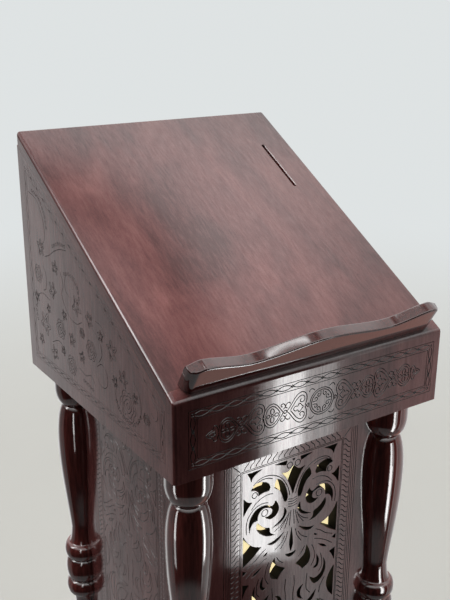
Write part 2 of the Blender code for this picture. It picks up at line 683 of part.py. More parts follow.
def build_plinth():
    half = PLINTH_WIDTH / 2
    size = (PLINTH_WIDTH, PLINTH_WIDTH, PLINTH_TOP_THICKNESS)
    mesh = box_mesh("plinth_top", size)
    round_edges(mesh, PLINTH_EDGE_RADIUS, 2, lambda edge: min(vert.co.z for vert in edge.verts) > 0)
    add_part("plinth_top", mesh, STAINED_BOARD, (0.0, 0.0, PLINTH_TOP - PLINTH_TOP_THICKNESS / 2))
    outer = half - SKIRT_INSET
    inner = outer - SKIRT_THICKNESS
    bottom = GLIDE_HEIGHT + SEAT_GAP
    top = bottom + SKIRT_HEIGHT
    for name, y_low in (("front", -outer), ("back", inner)):
        add_board("plinth_skirt_" + name, STAINED_BOARD, (-outer, y_low, bottom),
                  (outer, y_low + SKIRT_THICKNESS, top))
    side = inner - SEAT_GAP
    for name, x_low in (("left", -outer), ("right", inner)):
        add_board("plinth_skirt_" + name, STAINED_BOARD, (x_low, -side, bottom),
                  (x_low + SKIRT_THICKNESS, side, top))
    reach = (outer + inner) / 2
    mesh = cylinder_mesh("glide", GLIDE_FOOT_RADIUS, GLIDE_HEIGHT, top_radius=GLIDE_RADIUS)
    for name, x, y in CORNERS:
        add_part("glide_" + name, mesh, DARK_PAD, (x * reach, y * reach, GLIDE_HEIGHT / 2), smooth=True)


def hinge_meshes():
    # Both leaves and the pin of one hinge, about its axis, with +Y out of the door's face.
    half = HINGE_LENGTH / 2
    knuckle = HINGE_LENGTH / 6
    clear = HINGE_BARREL_RADIUS + SEAT_GAP
    joint = knuckle + SEAT_GAP
    plate_middle = -HINGE_BARREL_RADIUS + HINGE_LEAF_THICKNESS / 2
    lay_flat = Matrix.Translation((0.0, plate_middle, 0.0)) @ Matrix.Rotation(math.pi / 2, 4, "X")
    wide = HINGE_LEAF_WIDTH
    frame_plate = [tip(-wide, -half), tip(0, -half), tip(0, -joint), tip(-clear, -joint), tip(-clear, joint),
                   tip(0, joint), tip(0, half), tip(-wide, half)]
    door_plate = [tip(wide, half), tip(clear, half), tip(clear, knuckle), tip(0, knuckle), tip(0, -knuckle),
                  tip(clear, -knuckle), tip(clear, -half), tip(wide, -half)]
    bore = cylinder_mesh("hinge_bore", BORE_RADIUS, 2 * HINGE_LENGTH)
    end_length = half - joint
    end_centre = joint + end_length / 2
    end_barrels = ((end_centre, end_length), (-end_centre, end_length))
    middle_barrel = ((0.0, 2 * knuckle),)
    leaves = []
    for name, plate, barrels in (("frame_leaf", frame_plate, end_barrels),
                                 ("door_leaf", door_plate, middle_barrel)):
        flat = outline_mesh("hinge_" + name, [plate], HINGE_LEAF_THICKNESS)
        flat.transform(lay_flat)
        steps = [("UNION", cylinder_mesh("hinge_barrel", HINGE_BARREL_RADIUS, length, (0.0, 0.0, height)))
                 for height, length in barrels]
        steps.append(("DIFFERENCE", bore))
        leaves.append(worked_mesh("hinge_" + name, flat, steps))
    end = half + SEAT_GAP
    head = end + HINGE_PIN_HEAD_HEIGHT
    profile = [(0.0, head), (HINGE_PIN_HEAD_RADIUS, head), (HINGE_PIN_HEAD_RADIUS, end),
               (HINGE_PIN_RADIUS, end), (HINGE_PIN_RADIUS, -end), (HINGE_PIN_HEAD_RADIUS, -end),
               (HINGE_PIN_HEAD_RADIUS, -head), (0.0, -head)]
    return leaves[0], leaves[1], turned_mesh("hinge_pin", profile, ROUND_STEPS)


def build_hinges(prefix, axis, heights, meshes):
    frame_leaf, door_leaf, pin = meshes
    place = axis.matrix_world.translation
    for name, height in heights:
        here = (place.x, place.y, height)
        add_part(f"{prefix}_hinge_{name}_frame_leaf", frame_leaf, BRASS, here)
        add_part(f"{prefix}_hinge_{name}_pin", pin, BRASS, here)
        add_part(f"{prefix}_hinge_{name}_door_leaf", door_leaf, BRASS, here, parent=axis)


def build_door(prefix, doorway, hinge_from_edge, meshes):
    low, high = doorway
    hinge_x = low.x + DOOR_GAP / 2
    face = high.y
    axis = add_axis(prefix + "_hinge_axis", (hinge_x, face + HINGE_AXIS_OUT, (low.z + high.z) / 2))
    door_low = (low.x + DOOR_GAP, low.y, low.z + DOOR_GAP)
    door_high = (high.x - DOOR_GAP, high.y, high.z - DOOR_GAP)
    door = add_board(prefix + "_door", STAINED_BOARD, door_low, door_high, axis, DOOR_EASING)
    heights = (("upper", door_high[2] - hinge_from_edge), ("lower", door_low[2] + hinge_from_edge))
    build_hinges(prefix, axis, heights, meshes)
    lock_place = (door_high[0] - LOCK_FROM_EDGE, face, (low.z + high.z) / 2)
    hole = cylinder_mesh(prefix + "_lock_hole", LOCK_BARREL_RADIUS + SEAT_GAP, 4 * (high.y - low.y))
    cut_part(door, hole, lock_place, (math.pi / 2, 0.0, 0.0))
    build_lock(prefix, axis, lock_place, high.y - low.y)
    return axis, lock_place


def ring_outline(radius, steps):
    return [tip(radius * math.cos(2 * math.pi * step / steps), radius * math.sin(2 * math.pi * step / steps))
            for step in range(steps)]


def cam_outline():
    # A flat arm pointing down, with round ends.
    half = CAM_WIDTH / 2
    low = -CAM_REACH + half
    turns = [math.pi * step / 6 for step in range(7)]
    top = [tip(half * math.cos(turn), half * math.sin(turn)) for turn in turns]
    return top + [tip(-x, low - y) for x, y, sharp in top]


def build_lock(prefix, door_axis, place, door_thickness):
    # Turned pieces are drawn upright and laid along +Y, out of the door's face.
    lay_out = (-math.pi / 2, 0.0, 0.0)
    face = SEAT_GAP + LOCK_FLANGE_THICKNESS
    inner = -door_thickness - LOCK_INSIDE
    bore = LOCK_PLUG_RADIUS + SEAT_GAP
    body = [(LOCK_FLANGE_RADIUS, face), (LOCK_FLANGE_RADIUS, SEAT_GAP), (LOCK_BARREL_RADIUS, SEAT_GAP),
            (LOCK_BARREL_RADIUS, inner), (bore, inner), (bore, face)]
    add_part(prefix + "_lock_body", turned_mesh("lock_body", body, ROUND_STEPS), STEEL, place, lay_out,
             door_axis, smooth=True)
    lock_axis = add_axis(prefix + "_lock_axis", place, door_axis)
    cam_outer = inner - SEAT_GAP
    nut_outer = cam_outer - CAM_THICKNESS - SEAT_GAP
    tail = nut_outer - NUT_THICKNESS - SEAT_GAP
    plug = [(0.0, face), (LOCK_PLUG_RADIUS, face), (LOCK_PLUG_RADIUS, inner), (LOCK_TAIL_RADIUS, inner),
            (LOCK_TAIL_RADIUS, tail), (0.0, tail)]
    add_part(prefix + "_lock_plug", turned_mesh("lock_plug", plug, ROUND_STEPS), STEEL, place, lay_out,
             lock_axis, smooth=True)
    hole = ring_outline(LOCK_TAIL_RADIUS + SEAT_GAP, ROUND_STEPS)
    cam = outline_mesh("lock_cam", [cam_outline(), hole], CAM_THICKNESS, merge_flat=False)
    cam_place = Vector(place) + Vector((0.0, cam_outer - CAM_THICKNESS / 2, 0.0))
    add_part(prefix + "_lock_cam", cam, STEEL, cam_place, FRONT_VIEW, lock_axis)
    hexagon = ring_outline(NUT_ACROSS_FLATS / math.sqrt(3), 6)
    nut = outline_mesh("lock_nut", [hexagon, hole], NUT_THICKNESS, merge_flat=False)
    nut_place = Vector(place) + Vector((0.0, nut_outer - NUT_THICKNESS / 2, 0.0))
    add_part(prefix + "_lock_nut", nut, STEEL, nut_place, FRONT_VIEW, lock_axis)


def build_knob(door_axis, lock_place):
    ball = KNOB_LENGTH - KNOB_RADIUS
    profile = [(0.0, KNOB_LENGTH)]
    for step in range(1, 6):
        angle = math.radians(90 - 27 * step)
        profile.append((KNOB_RADIUS * math.cos(angle), ball + KNOB_RADIUS * math.sin(angle)))
    profile += [(KNOB_NECK_RADIUS, KNOB_FOOT_HEIGHT + KNOB_NECK_RADIUS / 2),
                (KNOB_FOOT_RADIUS, KNOB_FOOT_HEIGHT), (KNOB_FOOT_RADIUS, SEAT_GAP), (0.0, SEAT_GAP)]
    place = Vector(lock_place) + Vector((0.0, 0.0, KNOB_ABOVE_LOCK))
    add_part("cabinet_knob", turned_mesh("cabinet_knob", profile, ROUND_STEPS), GLOSS_LACQUER, place,
             (-math.pi / 2, 0.0, 0.0), door_axis, smooth=True)


def build_lectern():
    build_desk_top()
    build_desk_walls()
    build_desk_back()
    build_ledge()
    backing_face = build_front()
    build_cabinet_sides()
    build_cabinet_back()
    build_shelf(backing_face)
    build_columns()
    build_plinth()
    hinge = hinge_meshes()
    build_door("hatch", desk_doorway(), HATCH_HINGE_FROM_EDGE, hinge)
    cabinet_axis, cabinet_lock = build_door("cabinet", cabinet_doorway(), CABINET_HINGE_FROM_EDGE, hinge)
    build_knob(cabinet_axis, cabinet_lock)


build_lectern()
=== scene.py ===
import json
import math

import bpy
from mathutils import Matrix, Vector

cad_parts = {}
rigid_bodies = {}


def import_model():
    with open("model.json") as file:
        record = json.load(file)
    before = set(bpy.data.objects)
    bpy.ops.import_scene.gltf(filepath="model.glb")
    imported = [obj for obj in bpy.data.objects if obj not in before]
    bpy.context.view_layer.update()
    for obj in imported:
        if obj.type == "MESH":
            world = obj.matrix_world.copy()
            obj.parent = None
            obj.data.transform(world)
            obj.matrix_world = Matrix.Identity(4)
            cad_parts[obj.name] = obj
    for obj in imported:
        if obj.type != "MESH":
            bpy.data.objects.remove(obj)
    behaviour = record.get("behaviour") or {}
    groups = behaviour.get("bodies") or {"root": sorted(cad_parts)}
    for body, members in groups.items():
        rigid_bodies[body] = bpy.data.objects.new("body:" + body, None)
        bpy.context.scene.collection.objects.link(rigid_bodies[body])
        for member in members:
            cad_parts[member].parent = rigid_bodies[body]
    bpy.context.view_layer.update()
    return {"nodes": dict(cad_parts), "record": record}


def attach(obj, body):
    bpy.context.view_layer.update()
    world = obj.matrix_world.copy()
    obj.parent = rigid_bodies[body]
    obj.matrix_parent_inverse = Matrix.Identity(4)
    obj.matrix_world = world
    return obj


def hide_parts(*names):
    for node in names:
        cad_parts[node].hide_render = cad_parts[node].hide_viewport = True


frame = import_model()
nodes = frame["nodes"]
print("stage 1: frame loaded with", len(nodes), "nodes")


def pick(piece):
    if bpy.context.object and bpy.context.object.mode != "OBJECT":
        bpy.ops.object.mode_set(mode="OBJECT")
    bpy.ops.object.select_all(action="DESELECT")
    piece.select_set(True)
    bpy.context.view_layer.objects.active = piece


def settle(piece):  # place, turn and size go into the mesh
    pick(piece)
    bpy.ops.object.transform_apply(location=True, rotation=True, scale=True)
    return piece


def addBlock(name, low, high):
    bpy.ops.object.select_all(action="DESELECT")
    middle = (Vector(low) + Vector(high)) / 2
    bpy.ops.mesh.primitive_cube_add(size=1.0, location=middle)
    block = bpy.context.object
    block.name = name
    block.scale = Vector(high) - Vector(low)
    return settle(block)


def openMesh(piece, selection="SELECT"):
    pick(piece)
    bpy.ops.object.mode_set(mode="EDIT")
    bpy.ops.mesh.select_all(action=selection)


def closeMesh():
    bpy.ops.object.mode_set(mode="OBJECT")


def cutAway(piece, place, normal):  # keeps what is behind the plane
    openMesh(piece)
    bpy.ops.mesh.bisect(plane_co=place, plane_no=normal, use_fill=True, clear_outer=True)
    closeMesh()


def chooseEdges(piece, chosen):  # chosen gets the two ends of an edge; the mesh stays open
    openMesh(piece, "DESELECT")
    bpy.ops.mesh.select_mode(type="EDGE")
    closeMesh()
    points = piece.data.vertices
    for edge in piece.data.edges:
        edge.select = chosen(*(points[index].co for index in edge.vertices))
    bpy.ops.object.mode_set(mode="EDIT")


def roundEdges(piece, chosen, width, segments):
    chooseEdges(piece, chosen)
    bpy.ops.mesh.bevel(offset=width, segments=segments, profile=0.5, affect="EDGES")
    closeMesh()


def weld(piece, distance=0.00001):
    openMesh(piece)
    bpy.ops.mesh.remove_doubles(threshold=distance)
    bpy.ops.mesh.normals_make_consistent(inside=False)
    closeMesh()


def applyAll(piece):
    pick(piece)
    for modifier in list(piece.modifiers):
        bpy.ops.object.modifier_apply(modifier=modifier.name)


def cutWith(piece, tool):  # the tool is a closed mesh, it goes once it has cut
    change = piece.modifiers.new("cut", "BOOLEAN")
    change.operation = "DIFFERENCE"
    change.solver = "MANIFOLD"
    change.material_mode = "TRANSFER"
    change.object = tool
    applyAll(piece)
    bpy.data.objects.remove(tool)


def finishPiece(piece, finish, node, angle=28.0):
    if not piece.data.materials:
        piece.data.materials.append(finish)
    piece.data.materials[0] = finish  # a cut groove keeps its own finish
    pick(piece)
    bpy.ops.object.shade_smooth_by_angle(angle=math.radians(angle))
    even = piece.modifiers.new("even", "WEIGHTED_NORMAL")
    even.keep_sharp = True
    even.weight = 100
    applyAll(piece)
    if node:
        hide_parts(node)
        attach(piece, bodyOf[node])
    return piece


bodyOf = {}
for bodyName, members in frame["record"]["behaviour"]["bodies"].items():
    for member in members:
        bodyOf[member] = bodyName


# materials, drawn on the node tree that was opened last

sheet = {}


def openSheet(tree):
    sheet["nodes"], sheet["links"] = tree.nodes, tree.links


def newFinish(name):
    finish = bpy.data.materials.new(name)
    finish.use_nodes = True
    openSheet(finish.node_tree)
    return finish


def plug(value, socket):  # numbers and colours are set, outputs of other nodes are linked
    if isinstance(value, (int, float, tuple, list)):
        socket.default_value = value
    else:
        sheet["links"].new(value, socket)


def feed(name, value):  # into the material's own shader
    plug(value, sheet["nodes"]["Principled BSDF"].inputs[name])


def addNode(kind, **values):
    node = sheet["nodes"].new(kind)
    for key, value in values.items():
        if key in node.inputs:
            plug(value, node.inputs[key])
        else:
            setattr(node, key, value)
    return node


def objectPlace():
    return addNode("ShaderNodeTexCoord").outputs["Object"]


def stretched(place, stretch, turn=0.0):
    lay = addNode("ShaderNodeMapping", vector_type="TEXTURE", Rotation=(turn, 0.0, 0.0), Scale=stretch,
                  Vector=place)
    return lay.outputs["Vector"]


def addNoise(place, scale, detail, rough=0.55, warp=0.0):
    noise = addNode("ShaderNodeTexNoise", Scale=scale, Detail=detail, Roughness=rough, Distortion=warp,
                    Vector=place)
    return noise.outputs["Fac"]


def addRamp(source, *stops):  # a stop is a place with a colour or a grey level
    ramp = addNode("ShaderNodeValToRGB", Fac=source)
    while len(ramp.color_ramp.elements) < len(stops):
        ramp.color_ramp.elements.new(0.5)
    for element, (place, colour) in zip(ramp.color_ramp.elements, stops):
        element.position = place
        element.color = (colour, colour, colour, 1.0) if isinstance(colour, float) else (*colour, 1.0)
    return ramp.outputs["Color"]


def addMath(operation, first, second):
    step = addNode("ShaderNodeMath", operation=operation)
    plug(first, step.inputs[0])
    plug(second, step.inputs[1])
    return step.outputs["Value"]


def addSum(*terms):  # of sources, each times its weight
    first, *others = (addMath("MULTIPLY", source, weight) for source, weight in terms)
    for other in others:
        first = addMath("ADD", first, other)
    return first


def addMix(factor, first, second, blend="MIX"):
    mix = addNode("ShaderNodeMix", data_type="RGBA", blend_type=blend, Factor=factor, A=first, B=second)
    return mix.outputs["Result"]


def addShaderMix(factor, first, second):
    mix = addNode("ShaderNodeMixShader", Fac=factor)
    plug(first, mix.inputs[1])
    plug(second, mix.inputs[2])
    return mix.outputs["Shader"]


def addBump(height, distance, strength, before=None):
    bump = addNode("ShaderNodeBump", Distance=distance, Strength=strength, Height=height)
    if before is not None:
        plug(before, bump.inputs["Normal"])
    return bump.outputs["Normal"]


stain = {"tones": ((0.37, (0.085, 0.0260, 0.0250)), (0.50, (0.158, 0.0500, 0.0470)),
                   (0.63, (0.235, 0.0840, 0.0760))),
         "worn": (0.33, 0.150, 0.118, 1.0), "wearReach": 0.0016, "wearShare": 0.5,
         "wearPatch": (38.0, 4.0, 0.6), "fibre": (900.0, 4.0, 0.6), "streak": (330.0, 4.0, 0.65),
         "band": (55.0, 3.0, 0.5, 0.9), "pore": (1900.0, 2.0, 0.5), "speck": (850.0, 2.0, 0.6),
         "poreDepth": 0.8, "cloudStretch": 0.4, "streakBump": 0.00007, "fibreBump": 0.00002,
         "poreBump": 0.000008, "coatBump": 0.00005, "coatRough": 0.045}


def addWearAndHighlight(place):  # high in patches along the edges: lighter wear, which also paints the edge highlights
    smooth = addNode("ShaderNodeBevel", samples=6, Radius=stain["wearReach"])
    turned = addNode("ShaderNodeVectorMath", operation="DOT_PRODUCT")
    plug(smooth.outputs["Normal"], turned.inputs[0])
    plug(addNode("ShaderNodeNewGeometry").outputs["Normal"], turned.inputs[1])
    near = addRamp(turned.outputs["Value"], (0.86, 1.0), (0.99, 0.0))
    patch = addRamp(addNoise(place, *stain["wearPatch"]), (0.42, 0.12), (0.60, 1.0))
    return addMath("MULTIPLY", addMath("MULTIPLY", near, patch), stain["wearShare"])


def stainedWood(name, stretch, turn=0.0, paintedLight=(), clouds=(15.0, 4.0, 1.1, 0.46)):
    finish = newFinish(name)  # stretch is the length of the grain along each axis
    place = objectPlace()
    along = stretched(place, stretch, turn)
    drift = stretched(place, [length ** stain["cloudStretch"] for length in stretch], turn)
    fibre, streak, band, pore = (addNoise(along, *stain[key]) for key in ("fibre", "streak", "band", "pore"))
    speck = addNoise(place, *stain["speck"])
    scale, detail, swirl, cloudy = clouds
    cloud = addNoise(drift, scale, detail, 0.55, swirl)
    tone = addSum((streak, 0.26), (speck, 0.14), (band, 0.14), (cloud, cloudy))
    colour = addRamp(addMath("ADD", tone, 0.23 - cloudy / 2), *stain["tones"])  # the mean tone stays at 0.5
    flecks = addRamp(pore, (0.30, 0.55), (0.42, 1.0))
    colour = addMix(stain["poreDepth"], colour, flecks, "MULTIPLY")
    parts = addNode("ShaderNodeSeparateXYZ", Vector=place).outputs
    for axis, *stops in paintedLight:  # painted light and shade: the colour is made lighter or darker along an axis
        reach = addMath("ADD", parts[axis], 0.5)
        level = addRamp(reach, *((at + 0.5, share) for at, share in stops))
        colour = addMix(1.0, colour, level, "MULTIPLY")
    feed("Base Color", addMix(addWearAndHighlight(place), colour, stain["worn"]))
    feed("Roughness", addRamp(addSum((cloud, 0.6), (fibre, 0.4)), (0.35, 0.07), (0.65, 0.11)))
    bump = addBump(flecks, stain["poreBump"], 0.6)
    bump = addBump(fibre, stain["fibreBump"], 0.6, bump)
    feed("Normal", addBump(streak, stain["streakBump"], 0.6, bump))
    feed("Coat Weight", addRamp(streak, (0.34, 0.25), (0.68, 0.65)))
    feed("Coat Roughness", stain["coatRough"])
    feed("Coat Normal", addBump(streak, stain["coatBump"], 0.5))
    return finish


def plainFinish(name, grain, colours, rough, bump, gloss=None, relief=None, cloud=None, fixed=()):
    finish = newFinish(name)
    place = objectPlace()

    def noiseOf(sizes):  # a stretch or none, then what addNoise takes
        stretch, *others = sizes
        return addNoise(stretched(place, stretch) if stretch else place, *others)

    tone = noiseOf(grain)
    glossNoise = noiseOf(gloss) if gloss else tone
    reliefNoise = noiseOf(relief) if relief else glossNoise
    if cloud:
        tone = addSum((tone, 0.6), (noiseOf(cloud), 0.4))
    feed("Base Color", addRamp(tone, *colours))
    feed("Roughness", addRamp(glossNoise, (0.3, rough[0]), (0.7, rough[1])))
    feed("Normal", addBump(reliefNoise, *bump))
    for socket, value in fixed:
        feed(socket, value)
    return finish


def engravedLine(name, dull=0.0):  # the cut lines are painted near black, painted shade in the grooves; the varnish runs on over them
    return plainFinish(name, (None, 420.0, 3.0), ((0.3, (0.008, 0.003, 0.003)), (0.7, (0.024, 0.009, 0.008))),
                       (0.16 + dull, 0.24 + dull), (0.00006, 0.5),
                       fixed=(("Specular IOR Level", 0.5 - dull / 2),))


def glossLacquer(name, depth):
    tones = ((0.35, (0.082, 0.0165, 0.0142)), (0.68, (0.190, 0.0420, 0.0345)))
    # below one, depth darkens the tones: painted shade
    tones = [(place, [level * depth for level in colour]) for place, colour in tones]
    return plainFinish(name, ((1.0, 1.0, 18.0), 260.0, 4.0, 0.6), tones, (0.07, 0.13), (0.00008, 0.4),
                       gloss=(None, 110.0, 1.0), fixed=(("Coat Weight", 1.0), ("Coat Roughness", 0.03)))


def plainMetal(name, low, high, rough):
    return plainFinish(name, (None, 170.0, 4.0), ((0.35, low), (0.65, high)), rough, (0.00004, 0.5),
                       relief=((1.0, 1.0, 25.0), 2600.0, 2.0), fixed=(("Metallic", 1.0),))


grainUp = stainedWood("stainedGrainUp", (1.0, 1.0, 14.0))
grainAcross = stainedWood("stainedGrainAcross", (14.0, 1.0, 1.0))
grainDeep = stainedWood("stainedGrainDeep", (1.0, 14.0, 1.0))
lacquer = glossLacquer("glossLacquer", 1.0)
# a darker copy of the lacquer for the ledge: painted shade, since the ledge top catches more light than the
# rest
ledgeLacquer = glossLacquer("ledgeLacquer", 0.55)
shadedLine = engravedLine("engravedLine")
dullLine = engravedLine("dullLine", 0.3)
stainAndHoleShade = plainFinish("charredEdge", ((9.0, 1.0, 9.0), 420.0, 3.0),  # dark stain on the sawn hole walls, made near black with painted shade
                      ((0.35, (0.0025, 0.0018, 0.0015)), (0.7, (0.010, 0.006, 0.005))), (0.65, 0.85),
                      (0.0002, 0.6), fixed=(("Specular IOR Level", 0.2),))
plainBoard = plainFinish("bareBoard", ((12.0, 1.0, 1.0), 190.0, 5.0, 0.6),
                         ((0.36, (0.30, 0.18, 0.09)), (0.64, (0.52, 0.36, 0.21))), (0.55, 0.75),
                         (0.0002, 0.6), cloud=(None, 9.0, 2.0))
# the gold foil glows with painted light: its emission stands in for light reaching it through the holes
glowingFoil = plainFinish("goldFoil", (None, 60.0, 3.0), ((0.3, (0.90, 0.76, 0.34)), (0.7, (0.97, 0.87, 0.48))),
                   (0.26, 0.36), (0.0004, 0.3),
                   fixed=(("Metallic", 0.6), ("Emission Color", (1.0, 0.91, 0.52, 1.0)),
                          ("Emission Strength", 0.85)))
brass = plainMetal("satinBrass", (0.50, 0.34, 0.11), (0.70, 0.51, 0.20), (0.38, 0.24))
nickel = plainMetal("nickelPlate", (0.52, 0.52, 0.50), (0.70, 0.70, 0.68), (0.32, 0.18))
padding = plainFinish("darkPad", (None, 1400.0, 4.0, 0.7),
                      ((0.3, (0.018, 0.018, 0.018)), (0.7, (0.055, 0.053, 0.050))), (0.62, 0.85),
                      (0.0002, 0.6))
print("stage 2: materials made")


# drawing of engraved strokes, in millimetres on the plane of a board

def drawLine(knots, closed=False, steps=5):  # a knot of three values is sharp
    places = [Vector((knot[0], knot[1])) for knot in knots]
    count = len(places)
    arms = []
    for index, here in enumerate(places):
        before = places[index - 1] if closed or index else here
        after = places[(index + 1) % count] if closed or index < count - 1 else here
        if len(knots[index]) == 3 or (not closed and index in (0, count - 1)):
            arms.append((here.lerp(before, 1 / 3), here.lerp(after, 1 / 3)))
        else:
            way = (after - before).normalized()
            arms.append((here - way * (here - before).length / 3, here + way * (after - here).length / 3))
    points = []
    for index in range(count if closed else count - 1):
        following = (index + 1) % count
        a, b, c, d = places[index], arms[index][1], arms[following][0], places[following]
        for step in range(steps):
            t = step / steps
            points.append(a * (1 - t) ** 3 + b * 3 * t * (1 - t) ** 2 + c * 3 * t * t * (1 - t) + d * t ** 3)
    if not closed:
        points.append(places[-1])
    return points, closed


def drawRing(x, y, radiusX, radiusY=None, steps=16):
    radiusY = radiusY or radiusX
    turns = [2 * math.pi * step / steps for step in range(steps)]
    return [Vector((x + radiusX * math.cos(turn), y + radiusY * math.sin(turn))) for turn in turns], True


def drawFrame(halfWidth, halfHeight, x=0.0, y=0.0):
    corners = ((-1, -1), (1, -1), (1, 1), (-1, 1))
    return [Vector((x + sx * halfWidth, y + sy * halfHeight)) for sx, sy in corners], True


def moved(strokes, flipX=1.0, flipY=1.0, x=0.0, y=0.0):
    return [([Vector((x + flipX * point.x, y + flipY * point.y)) for point in points], closed)
            for points, closed in strokes]


def cellsOf(points, closed, room):
    cells = set()
    for first, second in zip(points, points[1:] + points[:1] if closed else points[1:]):
        count = max(1, int((second - first).length / room * 2))
        for step in range(count + 1):
            place = first.lerp(second, step / count)
            cells.add((round(place.x / room), round(place.y / room)))
    return cells


def sortLayers(strokes, room):  # strokes that touch go into different layers
    layers = []
    for points, closed in strokes:
        cells = cellsOf(points, closed, room)
        wide = {(x + i, y + j) for x, y in cells for i in (-1, 0, 1) for j in (-1, 0, 1)}
        for taken, members in layers:
            if not taken & wide:
                taken |= cells
                members.append((points, closed))
                break
        else:
            layers.append((set(cells), [(points, closed)]))
    return [members for taken, members in layers]


def boardPlane(origin, across, up):  # millimetres on a face to metres in the frame
    x, y = Vector(across), Vector(up)
    z = x.cross(y)
    turn = Matrix((x, y, z)).transposed().to_4x4()
    return Matrix.Translation(origin) @ turn @ Matrix.Scale(0.001, 4)


def drawnMesh(name, strokes, level, plane, **settings):  # a curve along the strokes, made a mesh
    curve = bpy.data.curves.new(name, "CURVE")
    for key, value in settings.items():
        setattr(curve, key, value)
    for points, closed in strokes:
        spline = curve.splines.new("POLY")
        spline.points.add(len(points) - 1)
        spline.use_cyclic_u = closed
        for knot, point in zip(spline.points, points):
            knot.co = (point.x, point.y, level, 1.0)
    piece = bpy.data.objects.new(name, curve)
    bpy.context.scene.collection.objects.link(piece)
    piece.matrix_world = plane
    pick(piece)
    bpy.ops.object.convert(target="MESH")
    settle(piece)
    weld(piece)
    return piece


def engrave(piece, plane, strokes, radius, finish, sink=0.7):
    if not piece.data.materials:
        piece.data.materials.append(grainUp)
    for members in sortLayers(strokes, 2.3 * radius):
        groove = drawnMesh("groove", members, (1 - sink) * radius, plane, dimensions="3D", twist_mode="Z_UP",
                           fill_mode="FULL", bevel_depth=radius, bevel_resolution=0, use_fill_caps=True)
        # with the near-black line finishes the groove walls carry painted shade
        groove.data.materials.append(finish)
        cutWith(piece, groove)


# desk box

deskBox = {"halfWidth": 0.225, "halfDepth": 0.225, "wall": 0.016, "gap": 0.0003, "topThickness": 0.018,
           "bottom": 0.8332, "frontHeight": 0.110, "backHeight": 0.373, "arris": 0.005, "arrisSteps": 6,
           "backArris": 0.0015, "backArrisSteps": 3}
slotSizes = {"length": 0.105, "width": 0.005, "fromRightEdge": 0.053, "upSlope": 0.381, "rim": 0.0009,
             "flare": 0.0004}
hair = 0.0001  # an edge as near as this lies on the face
# painted light and shade on the desk top: lighter towards the left and the middle, darker towards the front,
# back and right edges
topPaintedLight = (("X", (-0.22, 1.1), (0.0, 1.1), (0.22, 0.82)),
            ("Y", (-0.22, 0.8), (-0.1, 1.08), (0.1, 1.0), (0.22, 0.8)))
deskSlope = math.atan2(deskBox["backHeight"] - deskBox["frontHeight"], 2 * deskBox["halfDepth"])
slopeStainAndLight = stainedWood("stainedGrainSlope", (1.0, 7.0, 1.0), deskSlope, topPaintedLight, (10.5, 3.0, 0.6, 0.60))


def slopeLevel(y, drop=0.0):
    start = deskBox["bottom"] + deskBox["frontHeight"]
    return start + (y + deskBox["halfDepth"]) * math.tan(deskSlope) - drop / math.cos(deskSlope)


def slopePoint(x, upSlope, out):
    y = -deskBox["halfDepth"] + upSlope * math.cos(deskSlope) - out * math.sin(deskSlope)
    z = slopeLevel(-deskBox["halfDepth"]) + upSlope * math.sin(deskSlope) + out * math.cos(deskSlope)
    return Vector((x, y, z))


slopeNormal = Vector((0.0, -math.sin(deskSlope), math.cos(deskSlope)))


def makeDeskTop():
    half, deep = deskBox["halfWidth"], deskBox["halfDepth"]
    seam = -deep + deskBox["wall"] + deskBox["gap"]
    board = addBlock("deskTopBoard", (-half, -0.4, -deskBox["topThickness"]), (half, 0.4, 0.0))
    board.rotation_euler.x = deskSlope
    board.location = (0.0, 0.0, slopeLevel(0.0))
    settle(board)
    cutAway(board, (0.0, seam, 0.0), (0.0, -1.0, 0.0))
    cutAway(board, (0.0, deep, 0.0), (0.0, 1.0, 0.0))

    def outerUpper(first, second):
        above = max(p.z - slopeLevel(p.y, deskBox["topThickness"] / 2) for p in (first, second)) > 0
        return above and max(first.y, second.y) > seam + 0.001

    roundEdges(board, outerUpper, deskBox["arris"], deskBox["arrisSteps"])
    place = slopePoint(half - slotSizes["fromRightEdge"], slotSizes["upSlope"], 0.0)
    wide, long, flare = slotSizes["width"] / 2, slotSizes["length"] / 2, slotSizes["flare"]
    for grow, low, high in ((0.0, -0.05, 0.05), (slotSizes["rim"], 0.0, 0.05)):
        slot = addBlock("slotTool", (-wide - grow, -long - grow, low), (wide + grow, long + grow, high))
        if grow:  # sloping rim round the mouth
            for point in slot.data.vertices:
                upper = point.co.z > high / 2
                point.co.z = flare if upper else -grow
                for axis in (0, 1):
                    point.co[axis] += math.copysign(1.0, point.co[axis]) * (flare if upper else -grow)
        roundEdges(slot, lambda a, b: abs(a.z - b.z) > grow * 0.9, (wide + grow) * 0.7, 5)
        slot.rotation_euler.x = deskSlope
        slot.location = place
        settle(slot)
        cutWith(board, slot)
    finishPiece(board, slopeStainAndLight, "desk_top")


chain = {"stepsInLink": 8, "knot": 1.9, "knotStretch": 1.25, "endGap": 3.4}


def drawChain(start, end, links, swell):  # two crossing waves with a knot at each crossing
    way = end - start
    length = way.length
    way = way / length
    side = Vector((-way.y, way.x))
    count, gap, wide = links * chain["stepsInLink"], chain["endGap"], chain["knot"]
    strokes = []
    for sign in (1, -1):
        line = []
        for step in range(count + 1):
            reach = gap + (length - 2 * gap) * step / count
            lift = sign * swell * math.sin(math.pi * links * reach / length)
            line.append(start + way * reach + side * lift)
        strokes.append((line, False))
    long = way * wide * chain["knotStretch"]
    for knot in range(1, links):
        place = start + way * (length * knot / links)
        strokes.append(([place + long, place + side * wide, place - long, place - side * wide], True))
    return strokes


def drawChains(corners, counts, swell, ring):  # from corner to corner, with a ring on each
    strokes = []
    for index, (corner, links) in enumerate(zip(corners, counts)):
        strokes += drawChain(corner, corners[(index + 1) % len(corners)], links, swell)
        strokes.append(drawRing(corner.x, corner.y, ring, steps=8))
    return strokes


